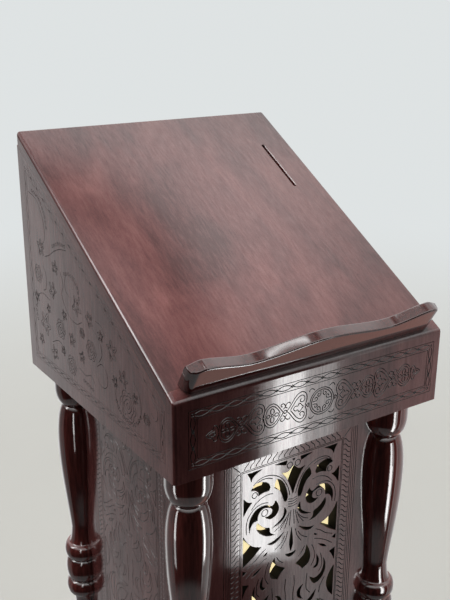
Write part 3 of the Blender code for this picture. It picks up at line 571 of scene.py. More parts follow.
fasciaOrnament = {
    "axisX": 2.8, "axisZ": 55.4, "frameOuter": (207.0, 39.2), "frameInner": (195.0, 27.8), "groove": 0.85,
    "fineGroove": 0.8, "chainSwell": 3.4, "chainLinks": (16, 3), "cornerRing": 1.9, "sink": 0.85,
    "roundel": ((20.2, 19.3), (17.2, 16.4)),
    "roundelStrokes": (  # right of and above the middle, mirrored both ways
        ((2.2, 15.2), (2.0, 11.5), (3.0, 8.4), (5.6, 7.6), (7.2, 9.6), (6.2, 11.8), (4.4, 11.2)),
        ((15.4, 2.2), (11.5, 2.0), (8.4, 3.0), (7.6, 5.6), (9.6, 7.2), (11.8, 6.2), (11.2, 4.4)),
        ((12.6, 18.6), (16.0, 21.2), (19.8, 21.0), (21.8, 17.6)),
    ),
    "crossings": (61.0, 129.6),
    "unitStrokes": (  # outward from a crossing and above the axis, mirrored both ways
        ((-3.2, 0.4), (-8.5, 6.2), (-14.5, 14.2), (-20.5, 19.8), (-27.0, 21.8), (-33.0, 18.8), (-35.6, 13.0),
         (-35.0, 6.5), (-32.6, 0.4)),
        ((-8.8, 0.4), (-13.5, 6.4), (-19.0, 13.0), (-25.0, 16.8), (-30.0, 15.6), (-32.0, 11.6), (-30.4, 8.0),
         (-26.8, 7.2), (-24.4, 9.6), (-25.8, 12.4)),
        ((-13.0, 0.4), (-17.0, 3.4), (-20.6, 2.8), (-22.4, 5.8), (-25.4, 4.8), (-27.6, 2.2), (-30.0, 0.4)),
        ((3.2, 0.4), (8.5, 7.0), (14.0, 13.4), (20.5, 16.6), (27.5, 14.8), (32.6, 9.0), (34.2, 3.4),
         (34.2, 0.4)),
        ((8.0, 0.4), (11.5, 6.2), (16.0, 10.8), (20.8, 13.0), (26.2, 11.6), (29.8, 7.0), (31.0, 0.4)),
        ((-3.6, 4.6), (-0.6, 6.6), (0.6, 10.0), (3.6, 12.4), (6.6, 11.4), (6.6, 8.8), (4.2, 8.4)),
        ((3.4, 4.4), (0.8, 6.4), (-1.0, 9.4), (-4.0, 11.8), (-7.4, 11.6), (-8.0, 9.0)),
        ((22.8, 2.6), (23.8, 6.0), (22.2, 9.4), (19.4, 9.2), (17.8, 6.0), (18.8, 2.6)),
    ),
    "unitRings": ((0.0, 2.4, 2.2), (20.8, 1.7, 1.7), (13.8, 3.2, 2.2), (27.0, 2.6, 2.2)),
    "finialStrokes": (
        ((165.4, 4.6), (166.4, 9.2), (169.6, 10.8), (171.6, 8.0), (173.4, 5.2), (177.6, 3.8), (182.4, 0.4)),
        ((168.4, 5.4), (170.4, 3.0), (174.6, 2.2), (178.0, 0.4)),
    ),
    "finialRing": (169.8, 0.0, 1.6, 1.6),
    "spandrel": ((26.8, 0.0, True), (22.6, 2.8, True), (22.6, -2.8, True)),
}


def drawFascia():
    data = fasciaOrnament
    quarter = [drawLine(knots) for knots in data["roundelStrokes"] + data["finialStrokes"]]
    half = [drawLine(data["spandrel"], True), drawRing(*data["finialRing"], steps=12)]
    for crossing in data["crossings"]:
        quarter += moved([drawLine(knots) for knots in data["unitStrokes"]], 1.0, 1.0, crossing)
        half += [drawRing(crossing + x, 0.0, wide, tall, steps=14) for x, wide, tall in data["unitRings"]]
    half += quarter + moved(quarter, 1.0, -1.0)
    strokes = half + moved(half, -1.0, 1.0)
    strokes += [drawRing(0.0, 0.0, *radii, steps=40) for radii in data["roundel"]]
    outer, inner = drawFrame(*data["frameOuter"]), drawFrame(*data["frameInner"])
    middle = [(a + b) / 2 for a, b in zip(outer[0], inner[0])]
    border = [outer, inner]
    border += drawChains(middle, data["chainLinks"] * 2, data["chainSwell"], data["cornerRing"])
    return [moved(part, 1.0, 1.0, data["axisX"], data["axisZ"]) for part in (strokes, border)]


def makeFascia():
    half, deep, bottom = deskBox["halfWidth"], deskBox["halfDepth"], deskBox["bottom"]
    back = -deep + deskBox["wall"]
    board = addBlock("fasciaBoard", (-half, -deep, bottom), (half, back, slopeLevel(back) + 0.02))
    cutAway(board, slopePoint(0.0, 0.0, 0.0), slopeNormal)

    def frontOrUpper(first, second):
        atFront = min(first.y, second.y) < -deep + hair
        return atFront and max(first.z, second.z) > bottom + deskBox["frontHeight"] / 2

    roundEdges(board, frontOrUpper, deskBox["arris"], deskBox["arrisSteps"])
    plane = boardPlane((0.0, -deep, bottom), (1.0, 0.0, 0.0), (0.0, 0.0, 1.0))
    drawing, border = drawFascia()
    engrave(board, plane, drawing, fasciaOrnament["groove"], shadedLine, fasciaOrnament["sink"])
    engrave(board, plane, border, fasciaOrnament["fineGroove"], shadedLine, fasciaOrnament["sink"])
    finishPiece(board, grainUp, "desk_fascia")


deskSideOrnament = {
    "groove": 0.72, "fineGroove": 0.55, "inset": (21.0, 32.0), "slopeInset": (25.0, 36.5), "chainSwell": 3.0,
    "chainLink": 24.0, "cornerRing": 1.8,
    "leaves": ((66, 209, 17, 20), (117, 189, 14, 80), (225, 144, 15, 40), (164, 96, 14, 10), (68, 88, 24, 60),
               (290, 121, 19, 30), (184, 154, 19, -20), (106, 152, 17, 140), (100, 50, 16, 110),
               (322, 92, 16, 70), (40, 126, 12, 30), (143, 128, 11, 250), (197, 82, 12, 300),
               (262, 132, 11, 160), (301, 82, 11, 190), (354, 78, 10, 40), (132, 66, 10, 70),
               (84, 120, 10, 330), (52, 60, 12, 200)),
    "roses": ((53, 166, 13), (127, 100, 14), (229, 101, 14), (161, 55, 14), (334, 60, 20), (202, 118, 7),
              (384, 62, 8)),
    "stems": (((35, 288), (62, 281), (80, 262), (87, 240), (82, 222), (72, 216)),
              ((161, 227), (140, 224), (118, 216), (100, 206), (84, 200)),
              ((136, 190), (144, 172), (138, 158), (146, 142), (160, 130), (184, 126), (202, 134)),
              ((236, 136), (256, 124), (262, 106), (252, 92)),
              ((246, 84), (262, 92), (276, 82), (274, 64), (258, 58), (246, 66)),
              ((350, 104), (366, 88), (370, 66), (360, 44)), ((398, 96), (412, 84), (408, 70), (396, 76)),
              ((304, 82), (300, 62), (308, 42)), ((92, 68), (118, 78), (142, 70)),
              ((186, 60), (208, 56), (226, 62), (238, 52)),
              ((40, 118), (50, 132), (68, 138), (92, 134)),
              ((72, 184), (82, 172), (80, 150), (70, 144)), ((155, 191), (150, 178), (153, 166), (164, 160)),
              ((178, 196), (190, 190), (198, 176)), ((246, 150), (262, 148), (274, 138))),
    "beads": (((46, 292), (72, 284), (90, 262), (95, 240)), ((158, 232), (136, 231), (112, 222)),
              ((148, 190), (170, 194), (190, 182), (198, 166)), ((300, 56), (318, 40), (350, 40), (372, 62)),
              ((40, 88), (36, 104), (42, 118)), ((200, 46), (216, 44), (234, 42))),
}


def polar(x, y, reach, turn):
    return (x + reach * math.cos(turn), y + reach * math.sin(turn))


def drawSpoke(x, y, turn, *reaches):  # straight, outward from a middle
    return [Vector(polar(x, y, reach, turn)) for reach in reaches], False


def drawLeaf(x, y, size, turn):
    lobes = ((0, 1.0), (28, 0.52), (58, 0.86), (90, 0.46), (126, 0.72), (156, 0.34), (180, 0.30), (204, 0.34),
             (234, 0.72), (270, 0.46), (302, 0.86), (332, 0.52))
    veins = ((0, 0.82), (58, 0.7), (126, 0.58), (234, 0.58), (302, 0.7))
    start = math.radians(turn)
    knots = []
    for angle, reach in lobes:
        knot = polar(x, y, size * reach, start + math.radians(angle))
        knots.append((*knot, True) if 0.4 <= reach <= 0.6 else knot)  # sharp between the lobes
    inner = [(x + 0.6 * (knot[0] - x), y + 0.6 * (knot[1] - y), *knot[2:]) for knot in knots]
    strokes = [drawLine(knots, True, 3), drawLine(inner, True, 2)]
    for angle, reach in veins:
        strokes.append(drawSpoke(x, y, start + math.radians(angle), size * 0.16, size * reach))
    return strokes


def drawRose(x, y, size):
    rings = ((1.0, 6, 0.10, 36), (0.72, 5, 0.10, 36), (0.46, 4, 0.10, 36), (0.2, 0, 0.0, 12))
    strokes = []
    for share, petals, depth, steps in rings:
        points = []
        for step in range(steps):
            turn = 2 * math.pi * step / steps
            reach = size * share * (1 - depth + 2 * depth * abs(math.cos(petals * turn / 2)))
            points.append(Vector(polar(x, y, reach, turn)))
        strokes.append((points, True))
    for step in range(6):
        turn = math.pi * (step + 0.5) / 3 + math.pi / 6
        strokes.append(drawSpoke(x, y, turn, size * 0.8, size * 0.94))
    return strokes


def drawBeads(knots, radius=2.3, spacing=6.4):
    points = drawLine(knots, False, 12)[0]
    strokes, since = [], spacing
    for first, second in zip(points, points[1:]):
        since += (second - first).length
        if since >= spacing:
            since = 0.0
            strokes.append(drawRing(second.x, second.y, radius, steps=10))
    return strokes


def drawDeskSide():  # across from the back edge, above the lower edge
    data = deskSideOrnament
    strokes = []
    for leaf in data["leaves"]:
        strokes += drawLeaf(*leaf)
    for rose in data["roses"]:
        strokes += drawRose(*rose)
    strokes += [drawLine(knots) for knots in data["stems"]]
    for knots in data["beads"]:
        strokes += drawBeads(knots)
    deep, rise = 2000 * deskBox["halfDepth"], math.tan(deskSlope)
    frames = []
    for inset, slopeInset in zip(data["inset"], data["slopeInset"]):
        level = 1000 * deskBox["backHeight"] - slopeInset / math.cos(deskSlope)
        near = deep - inset
        frames.append([Vector((inset, inset)), Vector((near, inset)), Vector((near, level - near * rise)),
                       Vector((inset, level - inset * rise))])
    outer, inner = frames
    middle = [(a + b) / 2 for a, b in zip(outer, inner)]
    lengths = [(b - a).length for a, b in zip(middle, middle[1:] + middle[:1])]
    counts = [max(1, round(length / data["chainLink"])) for length in lengths]
    border = [(outer, True), (inner, True)]
    border += drawChains(middle, counts, data["chainSwell"], data["cornerRing"])
    return strokes, border


def makeDeskSides():
    half, deep, bottom = deskBox["halfWidth"], deskBox["halfDepth"], deskBox["bottom"]
    front = -deep + deskBox["wall"] + deskBox["gap"]
    drop = deskBox["topThickness"] + deskBox["gap"]
    drawing, border = drawDeskSide()

    def backUpright(first, second):
        return min(first.y, second.y) > deep - hair and abs(first.z - second.z) > 0.1

    for name, side in (("left", -1), ("right", 1)):
        low, high = sorted((side * half, side * (half - deskBox["wall"])))
        board = addBlock("deskSide" + name.capitalize(), (low, front, bottom), (high, deep, bottom + 0.40))
        cutAway(board, slopePoint(0.0, 0.0, -drop), slopeNormal)
        roundEdges(board, backUpright, deskBox["backArris"], deskBox["backArrisSteps"])
        plane = boardPlane((side * half, deep, bottom), (0.0, side, 0.0), (0.0, 0.0, 1.0))
        engrave(board, plane, moved(drawing, -side, 1.0), deskSideOrnament["groove"], dullLine)
        engrave(board, plane, moved(border, -side, 1.0), deskSideOrnament["fineGroove"], dullLine)
        finishPiece(board, grainUp, "desk_side_" + name)


makeDeskTop()
makeFascia()
makeDeskSides()
print("stage 3: desk box made")


# pierced front panel and engraved cabinet sides

cabinetBox = {"half": 0.175, "bottom": 0.0789, "top": 0.8329, "panel": 0.018, "wall": 0.016, "gap": 0.0003}
fieldSizes = {"halfWidth": 86.0, "halfHeight": 323.0, "chamfer": 0.45, "line": 0.8, "fineLine": 0.6,
              "sawnMargin": 0.5}


def tip(across, down):
    return (across, down, True)


def dropShape(top, bottom, halfWidth):
    low = top + 0.68 * (bottom - top)
    return (tip(0, top), (halfWidth, low), tip(0, bottom), (-halfWidth, low))


scrollCutouts = (  # right of the middle line: across, down from the top of the field
    (tip(80.5, 0), tip(56, 0), (67, 5), (72, 9.5), tip(74, 14), (76, 7)),
    (tip(33.5, 0), tip(12, 0), tip(13.5, 6.5), (22, 4)),
    (tip(74, 28), (67, 21), (56, 20.5), (45.5, 25), (41, 33), tip(43, 38), (52, 38), tip(61, 40.5),
     (61.5, 35), (66, 30.5)),
    (tip(86, 38), tip(86, 65), (80, 56), tip(72, 47.5), (78, 46), (82.5, 42)),
    (tip(29, 23.5), (22, 28), (15.5, 37), (11, 49), (9.5, 60), (12.5, 66), (17, 60), (19.5, 52), (24, 44),
     tip(33, 37), (32, 30)),
    (tip(75.5, 96), (76.5, 83), (74, 73), (66, 63), (55, 59.5), (45, 61), (38, 65), (34, 63.5), tip(30.5, 58),
     (26.5, 65), (24.7, 74), (29, 82), (37, 85.5), (44.5, 83), tip(48.5, 79.5), (42.5, 79.5), (37.5, 76.5),
     (36.3, 70.5), (42, 66), (51, 64), (57.5, 67), (61, 73), tip(62, 80), (69, 81.5), (73.5, 87)),
    (tip(62, 84.5), (57, 90), (50, 96), tip(40.5, 100), (39.5, 107), (35.5, 112), tip(30.5, 114.5),
     (43, 112.5), (54, 106), (61, 98), (63.3, 91)),
    (tip(14, 75), (10.5, 82), (13, 90.5), (22, 98.5), tip(36, 102), (24, 95.5), (16, 87.5)),
    (tip(43.5, 126), (35, 130), (25, 127), tip(13, 116), (24, 121.5), (35, 125.5)),
    (tip(86, 99), (77.5, 113), (67, 122), tip(54.5, 127), (62, 133), (70, 140), tip(86, 150)),
    (tip(51, 145), (47, 141.5), tip(43, 140), (46, 144)),
    (tip(86, 156), tip(79, 160), tip(86, 164)),
    (tip(70.5, 173), (64.5, 167), tip(52.5, 161.5), (62, 170)),
    (tip(30, 154.5), (35, 165), (37.5, 177), (34, 188.5), tip(24, 194.5), (18.5, 187.5), tip(9.5, 180),
     (18, 175), (26.5, 168)),
    (tip(50, 179), (54.5, 188), (54.5, 197), (50, 203), tip(44, 201), (49.5, 197.5), (51, 190)),
    (tip(86, 180), tip(75.5, 183.5), (81, 191), tip(86, 202)),
    (tip(64, 190), (68.5, 202), (67.5, 216), (59, 228.5), (50, 231.5), (43.5, 226), tip(38.5, 215.5),
     (49, 221), (60, 216), (65, 204)),
    (tip(26.5, 223), (19, 226.5), (15, 234), (17.5, 244), tip(27, 250.5), (21.5, 241), (21.5, 231)),
    (tip(86, 212), (77, 224), (72.5, 240), (77, 256), tip(86, 268)),
    (tip(52, 243), (47, 256), (36, 265), (23, 267), tip(11, 260), (25, 260.5), (38, 255)),
    (tip(55, 262), (66, 273), (72, 290), (70, 306), tip(61, 318), (62, 302), (58, 282)),
    (tip(13, 276), (30, 277), (43, 287), (48, 301), tip(44, 315), (36, 303), (24, 295)),
)
middleCutouts = (
    (tip(-3, 0), tip(3, 0), tip(0, 3.5)),
    (tip(0, 11), (8, 18), (14, 19), tip(21, 17), (12, 28), (5, 43), tip(0, 57), (-5, 43), (-12, 28),
     tip(-21, 17), (-14, 19), (-8, 18)),
    dropShape(113, 154, 3.3),
    (tip(-10, 156), (0, 157.5), tip(10, 156), (6, 161), (0, 163.5), (-6, 161)),
    dropShape(266, 300, 4.5),
)
levelCutouts = (  # across the level line half way down
    (tip(86, 286), (79, 304), (77, 323), (79, 342), tip(86, 360)),
    (tip(14, 309), (27, 315), (31, 323), (27, 331), tip(14, 337), (20, 323)),
)
leafLines = (  # engraved on the leaves right of the middle line
    ((5.2, 58), (8.4, 46), (14, 34.5), (21, 25.4), (30, 18.6), (40, 14.4), (52, 13), (63, 16), (70, 22)),
    ((37, 20.5), (46, 17.4), (55, 16.8), (63, 19)),
    ((80.6, 97), (81.2, 83), (77.8, 70), (68, 59.4), (55.5, 55.4), (43.5, 57)),
    ((35.5, 45), (46, 44), (57, 46.5), (66, 52), (73, 59.5)),
    ((2.5, 84), (3.5, 96), (4.4, 109)),
    ((5.5, 86), (8.4, 98), (12.6, 111)),
    ((8.6, 90), (14, 100.5), (22, 111)),
    ((12, 95), (20, 103.5), (31, 109)),
    ((7, 118), (11, 131), (19, 143)),
    ((12, 124), (19, 134), (30, 141)),
    ((46, 133), (56, 139), (66, 147), (80, 154)),
    ((44, 149), (56, 154), (68, 161), (80, 170)),
    ((40, 158), (45, 170), (46, 184), (40, 196)),
    ((14, 169), (21, 163), (26, 155)),
    ((58, 180), (61, 192), (61, 204), (56, 212)),
    ((33, 206), (32, 220), (33, 234), (40, 244)),
    ((68, 226), (60, 240), (58, 252)),
    ((8, 200), (9, 216), (7, 232), (8, 248)),
    ((60, 264), (75, 278), (79, 294)),
    ((18, 271), (36, 272), (50, 284), (55, 300), (53, 316)),
)
leafBalls = ((7, 8.6, 4.6), (67.6, 37.4, 4.4), (49.4, 72, 5.4))
tieRidges = (64.5, 68.5, 72.5, 76.5)
ropeBorder = {"lines": (89.6, 91.8, 107.6, 111.0, 114.6, 118.6), "band": (93.2, 106.2), "sideStep": 8.6,
              "topStep": 9.6, "slant": 3.8, "bendIn": 4.0, "bend": 1.0}


def drawnField(knots, side, end):
    shape = [(side * knot[0], end * (fieldSizes["halfHeight"] - knot[1]), *knot[2:]) for knot in knots]
    return shape if side * end > 0 else shape[::-1]


def fieldShapes():
    shapes = []
    for end in (1, -1):
        shapes += [drawnField(knots, 1, end) for knots in middleCutouts]
        for side in (1, -1):
            shapes += [drawnField(knots, side, end) for knots in scrollCutouts]
    for side in (1, -1):
        shapes += [drawnField(knots, side, 1) for knots in levelCutouts]
    return shapes


def fieldEdges(steps):  # each outline as open strokes from tip to tip
    strokes = []
    for knots in fieldShapes():
        tips = [index for index, knot in enumerate(knots) if len(knot) == 3]
        for first, last in zip(tips, tips[1:] + [tips[0] + len(knots)]):
            stretch = [knots[index % len(knots)] for index in range(first, last + 1)]
            strokes.append(drawLine(stretch, False, steps))
    return strokes


def thinned(outline):  # straight stretches keep only their ends
    points, closed = outline
    kept = []
    for index, here in enumerate(points):
        before, after = points[index - 1], points[(index + 1) % len(points)]
        if (here - before).angle(after - here, 0.0) > 0.004:
            kept.append(here)
    return kept, closed


def drawField():
    strokes = []
    for end in (1, -1):
        for side in (1, -1):
            strokes += [drawLine(drawnField(knots, side, end)) for knots in leafLines]
            strokes += [drawRing(side * x, end * (fieldSizes["halfHeight"] - y), r) for x, y, r in leafBalls]
        for down in tieRidges:
            z = end * (fieldSizes["halfHeight"] - down)
            strokes.append(drawLine(((-8.2, z + end * 0.8), (0, z - end * 1.0), (8.2, z + end * 0.8))))
    return strokes


def drawRope():  # slanted strokes between the frame lines, mirrored about both middle lines
    data = ropeBorder
    shift = fieldSizes["halfHeight"] - fieldSizes["halfWidth"]
    strokes = [drawFrame(line, line + shift) for line in data["lines"]]
    (near, far), lean, bendIn, bend = data["band"], data["slant"], data["bendIn"], data["bend"]

    def strand(index, step):
        place = (index + 0.5) * step
        return ((near, place + lean), (near + bendIn, place + lean - bend),
                (far - bendIn, place - lean + bend), (far, place - lean))

    quarter = [drawLine(((near, near + shift), (far, far + shift)))]
    for index in range(int((near + shift) / data["sideStep"])):
        quarter.append(drawLine(strand(index, data["sideStep"]), False, 3))
    for index in range(int(near / data["topStep"])):
        knots = [(along, out + shift) for out, along in strand(index, data["topStep"])]
        quarter.append(drawLine(knots, False, 3))
    for sx in (1, -1):
        for sz in (1, -1):
            strokes += moved(quarter, sx, sz)
    return strokes


def makeFrontPanel():
    half, low, high = cabinetBox["half"], cabinetBox["bottom"], cabinetBox["top"]
    across, up = (1.0, 0.0, 0.0), (0.0, 0.0, 1.0)
    middle = Vector((0.0, -half + cabinetBox["panel"] / 2, (low + high) / 2))
    outlines = [thinned(drawLine(knots, True, 9)) for knots in fieldShapes()]
    border = drawFrame(half * 1000, (high - low) * 500)
    panel = drawnMesh("piercedPanel", [border] + outlines, 0.0, boardPlane(middle, across, up),
                      dimensions="2D", fill_mode="BOTH", extrude=cabinetBox["panel"] * 500)
    plane = boardPlane((0.0, -half, middle.z), across, up)
    engrave(panel, plane, fieldEdges(5), fieldSizes["chamfer"], grainUp, 1.0)
    engrave(panel, plane, drawField() + drawRope(), fieldSizes["line"], shadedLine, 0.9)
    panel.data.materials.append(stainAndHoleShade)
    lastSlot = len(panel.data.materials) - 1
    reachX = (fieldSizes["halfWidth"] + fieldSizes["sawnMargin"]) / 1000
    reachZ = (fieldSizes["halfHeight"] + fieldSizes["sawnMargin"]) / 1000
    for face in panel.data.polygons:  # the sawn edges inside the field, which take the painted hole shade
        inside = abs(face.center.x) < reachX and abs(face.center.z - middle.z) < reachZ
        if inside and abs(face.normal.y) < 0.05 and face.center.y > -half + 0.001:
            face.material_index = lastSlot
    finishPiece(panel, grainUp, "front_panel")


def makeCabinetSides():
    half, low, high = cabinetBox["half"], cabinetBox["bottom"], cabinetBox["top"]
    front = -half + cabinetBox["panel"] + cabinetBox["gap"]
    back = half - cabinetBox["wall"] - cabinetBox["gap"]
    strokes = fieldEdges(4) + drawField() + drawRope()
    for name, side in (("left", -1), ("right", 1)):
        near, far = sorted((side * half, side * (half - cabinetBox["wall"])))
        board = addBlock("cabinetSide" + name.capitalize(), (near, front, low), (far, back, high))
        plane = boardPlane((side * half, 0.0, (low + high) / 2), (0.0, side, 0.0), (0.0, 0.0, 1.0))
        engrave(board, plane, strokes, fieldSizes["fineLine"], shadedLine, 0.8)
        finishPiece(board, grainUp, "cabinet_side_" + name)


makeFrontPanel()
makeCabinetSides()
print("stage 4: pierced panel and cabinet sides made")


# book ledge

ledge = {"length": 0.412, "thick": 0.0175, "setback": 0.008, "crown": 0.041, "dip": 0.029,
         "dipFromEnd": 0.092, "peak": 0.0425, "peakFromEnd": 0.020, "tipHeight": 0.036, "corner": 0.012,
         "easing": 0.0026, "easingSteps": 5, "stations": 120, "gap": 0.0003}


def ledgeHeights():
    half = ledge["length"] / 2
    dip, peak = half - ledge["dipFromEnd"], half - ledge["peakFromEnd"]
    right = [(half, ledge["tipHeight"]), (peak, ledge["peak"]), (dip, ledge["dip"])]
    knots = [(-x, z) for x, z in right] + [(0.0, ledge["crown"])] + right[::-1]
    return drawLine(knots, False, 40)[0]


def makeLedge():
    half, thick, corner, blank = ledge["length"] / 2, ledge["thick"], ledge["corner"], 0.04
    flat = half - corner
    bar = addBlock("bookLedgeBar", (-half, 0.0, 0.0), (half, thick, blank))
    chooseEdges(bar, lambda a, b: abs(a.x - b.x) > half)
    bpy.ops.mesh.subdivide(number_cuts=ledge["stations"] - 1)
    closeMesh()
    curve = ledgeHeights()

    def frontLevel(x):  # the front face turns back at the rounded corners
        rest = min(1.0, max(0.0, abs(x) - flat) / corner)
        return corner * (1 - math.sqrt(1 - rest * rest))

    for point in bar.data.vertices:
        x = half * math.sin(point.co.x / half * math.pi / 2)  # stations crowd towards the ends
        if point.co.y < thick / 2:
            point.co.y = frontLevel(x)
        if point.co.z > blank / 2:
            for a, b in zip(curve, curve[1:]):
                if a.x <= x <= b.x:
                    point.co.z = a.y + (b.y - a.y) * (x - a.x) / max(b.x - a.x, 1e-9)
                    break
        point.co.x = x

    def rim(first, second):  # the whole edge of the upper face
        along = abs(first.x - second.x) > 1e-5
        return min(first.z, second.z) > blank / 2 and (along or abs(abs(first.x) - half) < 1e-6)

    roundEdges(bar, rim, ledge["easing"], ledge["easingSteps"])
    for point in bar.data.vertices:  # the rounding overshoots at the tight ends
        point.co.y = max(point.co.y, frontLevel(point.co.x))
    bar.rotation_euler.x = deskSlope
    bar.location = slopePoint(0.0, ledge["setback"], ledge["gap"])
    settle(bar)
    finishPiece(bar, ledgeLacquer, "book_ledge", 40.0)


makeLedge()
print("stage 5: book ledge made")


# turned columns

column = {"length": 0.754, "cup": 0.0324, "cupHeight": 0.061, "bowl": 0.029, "neck": 0.0190, "belly": 0.0322,
          "bellyDepth": 0.126, "waist": 0.0190, "waistDepth": 0.291, "bead": 0.0323, "beadHeight": 0.029,
          "groove": 0.0248, "ball": 0.0316, "ballHeight": 0.042, "ballDepth": 0.372, "steps": 72,
          "lip": 0.0025}


def arcPoints(centreRadius, centreDepth, radius, depth, start, end, steps):
    angles = [math.radians(start + (end - start) * step / steps) for step in range(steps + 1)]
    return [(centreRadius + radius * math.cos(a), centreDepth + depth * math.sin(a)) for a in angles]


def columnHalf():  # radius and depth below the top, down to the middle of the ball
    data = column
    cup, lip, neck = data["cup"], data["lip"], data["neck"]
    belly, waist, groove = data["belly"], data["waist"], data["groove"]
    beadCentre = data["ballDepth"] - data["ballHeight"] / 2 - data["beadHeight"] / 2
    half = [(0.0, 0.0)]
    half += arcPoints(cup - lip, lip, lip, lip, -90, 0, 4)
    half += arcPoints(neck, data["cupHeight"] - data["bowl"], cup - neck, data["bowl"], 0, 88, 12)
    bellyDepth = data["bellyDepth"]
    half += arcPoints(neck, bellyDepth, belly - neck, bellyDepth - data["cupHeight"], -86, 0, 14)
    taper = data["waistDepth"] - bellyDepth
    for step in range(1, 21):
        share = 0.7 * math.cos(math.pi * step / 40) + 0.15 * (1 + math.cos(math.pi * step / 20))
        half.append((waist + (belly - waist) * share, bellyDepth + taper * step / 20))
    flare = beadCentre - data["beadHeight"] / 2 - data["waistDepth"]
    half += arcPoints(groove, data["waistDepth"], waist - groove, flare, 5, 88, 12)
    half += arcPoints(groove, beadCentre, data["bead"] - groove, data["beadHeight"] / 2, -82, 82, 12)
    half += arcPoints(groove, data["ballDepth"], data["ball"] - groove, data["ballHeight"] / 2, -82, 0, 9)
    return half


def turnPiece(name, profile, steps, place, turn=(0.0, 0.0, 0.0)):  # profile of radius and height
    bpy.ops.object.select_all(action="DESELECT")
    bpy.ops.mesh.primitive_plane_add(size=0.01, location=(0.0, 0.0, 0.0))
    piece = bpy.context.object
    piece.name = name
    bpy.ops.object.mode_set(mode="EDIT")
    bpy.ops.mesh.select_mode(type="VERT")
    bpy.ops.mesh.select_all(action="SELECT")
    bpy.ops.mesh.merge(type="CENTER")
    radius, height = profile[0]
    bpy.ops.transform.translate(value=(radius, 0.0, height))
    for here, there in zip(profile, profile[1:]):
        bpy.ops.mesh.extrude_region_move(
            TRANSFORM_OT_translate={"value": (there[0] - here[0], 0.0, there[1] - here[1])})
    bpy.ops.mesh.select_all(action="SELECT")
    bpy.ops.mesh.spin(steps=steps, angle=2 * math.pi, center=(0.0, 0.0, 0.0), axis=(0.0, 0.0, 1.0))
    bpy.ops.object.mode_set(mode="OBJECT")
    weld(piece)
    piece.rotation_euler = turn
    piece.location = place
    return settle(piece)


def copyPiece(source, name):
    twin = source.copy()
    twin.data = source.data.copy()
    twin.name = name
    for label in list(twin.keys()):  # the copy is a new piece, not the node
        del twin[label]
    bpy.context.scene.collection.objects.link(twin)
    return twin


def makeColumns():
    half = columnHalf()
    stretch = (column["length"] - column["ballDepth"]) / column["ballDepth"]
    lower = [(radius, column["length"] - depth * stretch) for radius, depth in reversed(half[:-1])]
    profile = [(radius, -depth) for radius, depth in half + lower]
    master = turnPiece("columnMaster", profile, column["steps"], (0.0, 0.0, 0.0))
    reach, gap = 2 * column["belly"], cabinetBox["gap"]
    notch = addBlock("columnNotch", (-gap, -gap, -1.0), (reach, reach, 0.2))
    cutWith(master, notch)
    corners = (("front_left", -1, -1), ("front_right", 1, -1), ("back_right", 1, 1), ("back_left", -1, 1))
    for quarter, (name, x, y) in enumerate(corners):
        turned = copyPiece(master, "column" + name.title().replace("_", ""))
        turned.rotation_euler.z = quarter * math.pi / 2
        turned.location = (x * cabinetBox["half"], y * cabinetBox["half"], cabinetBox["top"])
        settle(turned)
        finishPiece(turned, lacquer, "column_" + name, 40.0)
    bpy.data.objects.remove(master)


makeColumns()
print("stage 6: columns made")


# plain boards, with eased edges

easedBoards = (
    (grainUp, "stained_board", ("desk_back_stile_left", "desk_back_stile_right", "cabinet_back_stile_left",
                                "cabinet_back_stile_right", "hatch_door", "cabinet_door")),
    (grainAcross, "stained_board", ("desk_back_rail_top", "desk_back_rail_bottom", "cabinet_back_rail_bottom",
                                    "cabinet_back_rail_top", "plinth_top", "plinth_skirt_front",
                                    "plinth_skirt_back")),
    (grainDeep, "stained_board", ("plinth_skirt_left", "plinth_skirt_right")),
    (plainBoard, "bare_board", ("desk_floor", "backing_strip_left", "backing_strip_right", "shelf",
                                "shelf_cleat_left", "shelf_cleat_right")),
    (glowingFoil, "gold_board", ("front_backing",)),
)
easing = {"width": 0.0008, "steps": 2, "sharpAngle": 50, "flatAngle": 0.01, "weld": 0.00002}


def makeEasedBoard(node, finish):
    board = copyPiece(nodes[node], node.title().replace("_", "") + "Board")
    openMesh(board)
    bpy.ops.mesh.remove_doubles(threshold=easing["weld"])
    bpy.ops.mesh.dissolve_limited(angle_limit=easing["flatAngle"])
    closeMesh()
    edges = board.modifiers.new("easing", "BEVEL")
    edges.width = easing["width"]
    edges.segments = easing["steps"]
    edges.limit_method = "ANGLE"
    edges.angle_limit = math.radians(easing["sharpAngle"])
    applyAll(board)
    if finish is glowingFoil:  # foil on the front face, bare board behind it
        board.data.materials.clear()
        board.data.materials.append(finish)
        board.data.materials.append(plainBoard)
        for face in board.data.polygons:
            face.material_index = 0 if face.normal.y < -0.9 else 1
    finishPiece(board, finish, node)


for finish, slotName, members in easedBoards:
    for member in members:
        makeEasedBoard(member, finish)
print("stage 7: plain boards made")


# screws, keyways and a smooth knob for the doors

hardware = {"screwRadius": 0.0027, "screwRise": 0.0005, "screwSlot": 0.0007, "screwStep": 0.017,
            "screwOut": 0.0108, "screwShift": 0.0022, "leafFace": 0.0020, "keyWide": 0.0011,
            "keyTall": 0.0064, "keyDeep": 0.0016, "knob": 0.013, "knobFoot": 0.009, "knobFootHeight": 0.003,
            "knobNeck": 0.006, "knobLength": 0.027, "knobHollow": 0.0008, "knobArris": 0.0005,
            "knobGap": 0.0003}
facingBack = (-math.pi / 2, 0.0, 0.0)  # turns an upright piece towards +Y


def boxOf(node):
    corners = [nodes[node].matrix_world @ Vector(corner) for corner in nodes[node].bound_box]
    return (Vector([min(c[axis] for c in corners) for axis in range(3)]),
            Vector([max(c[axis] for c in corners) for axis in range(3)]))


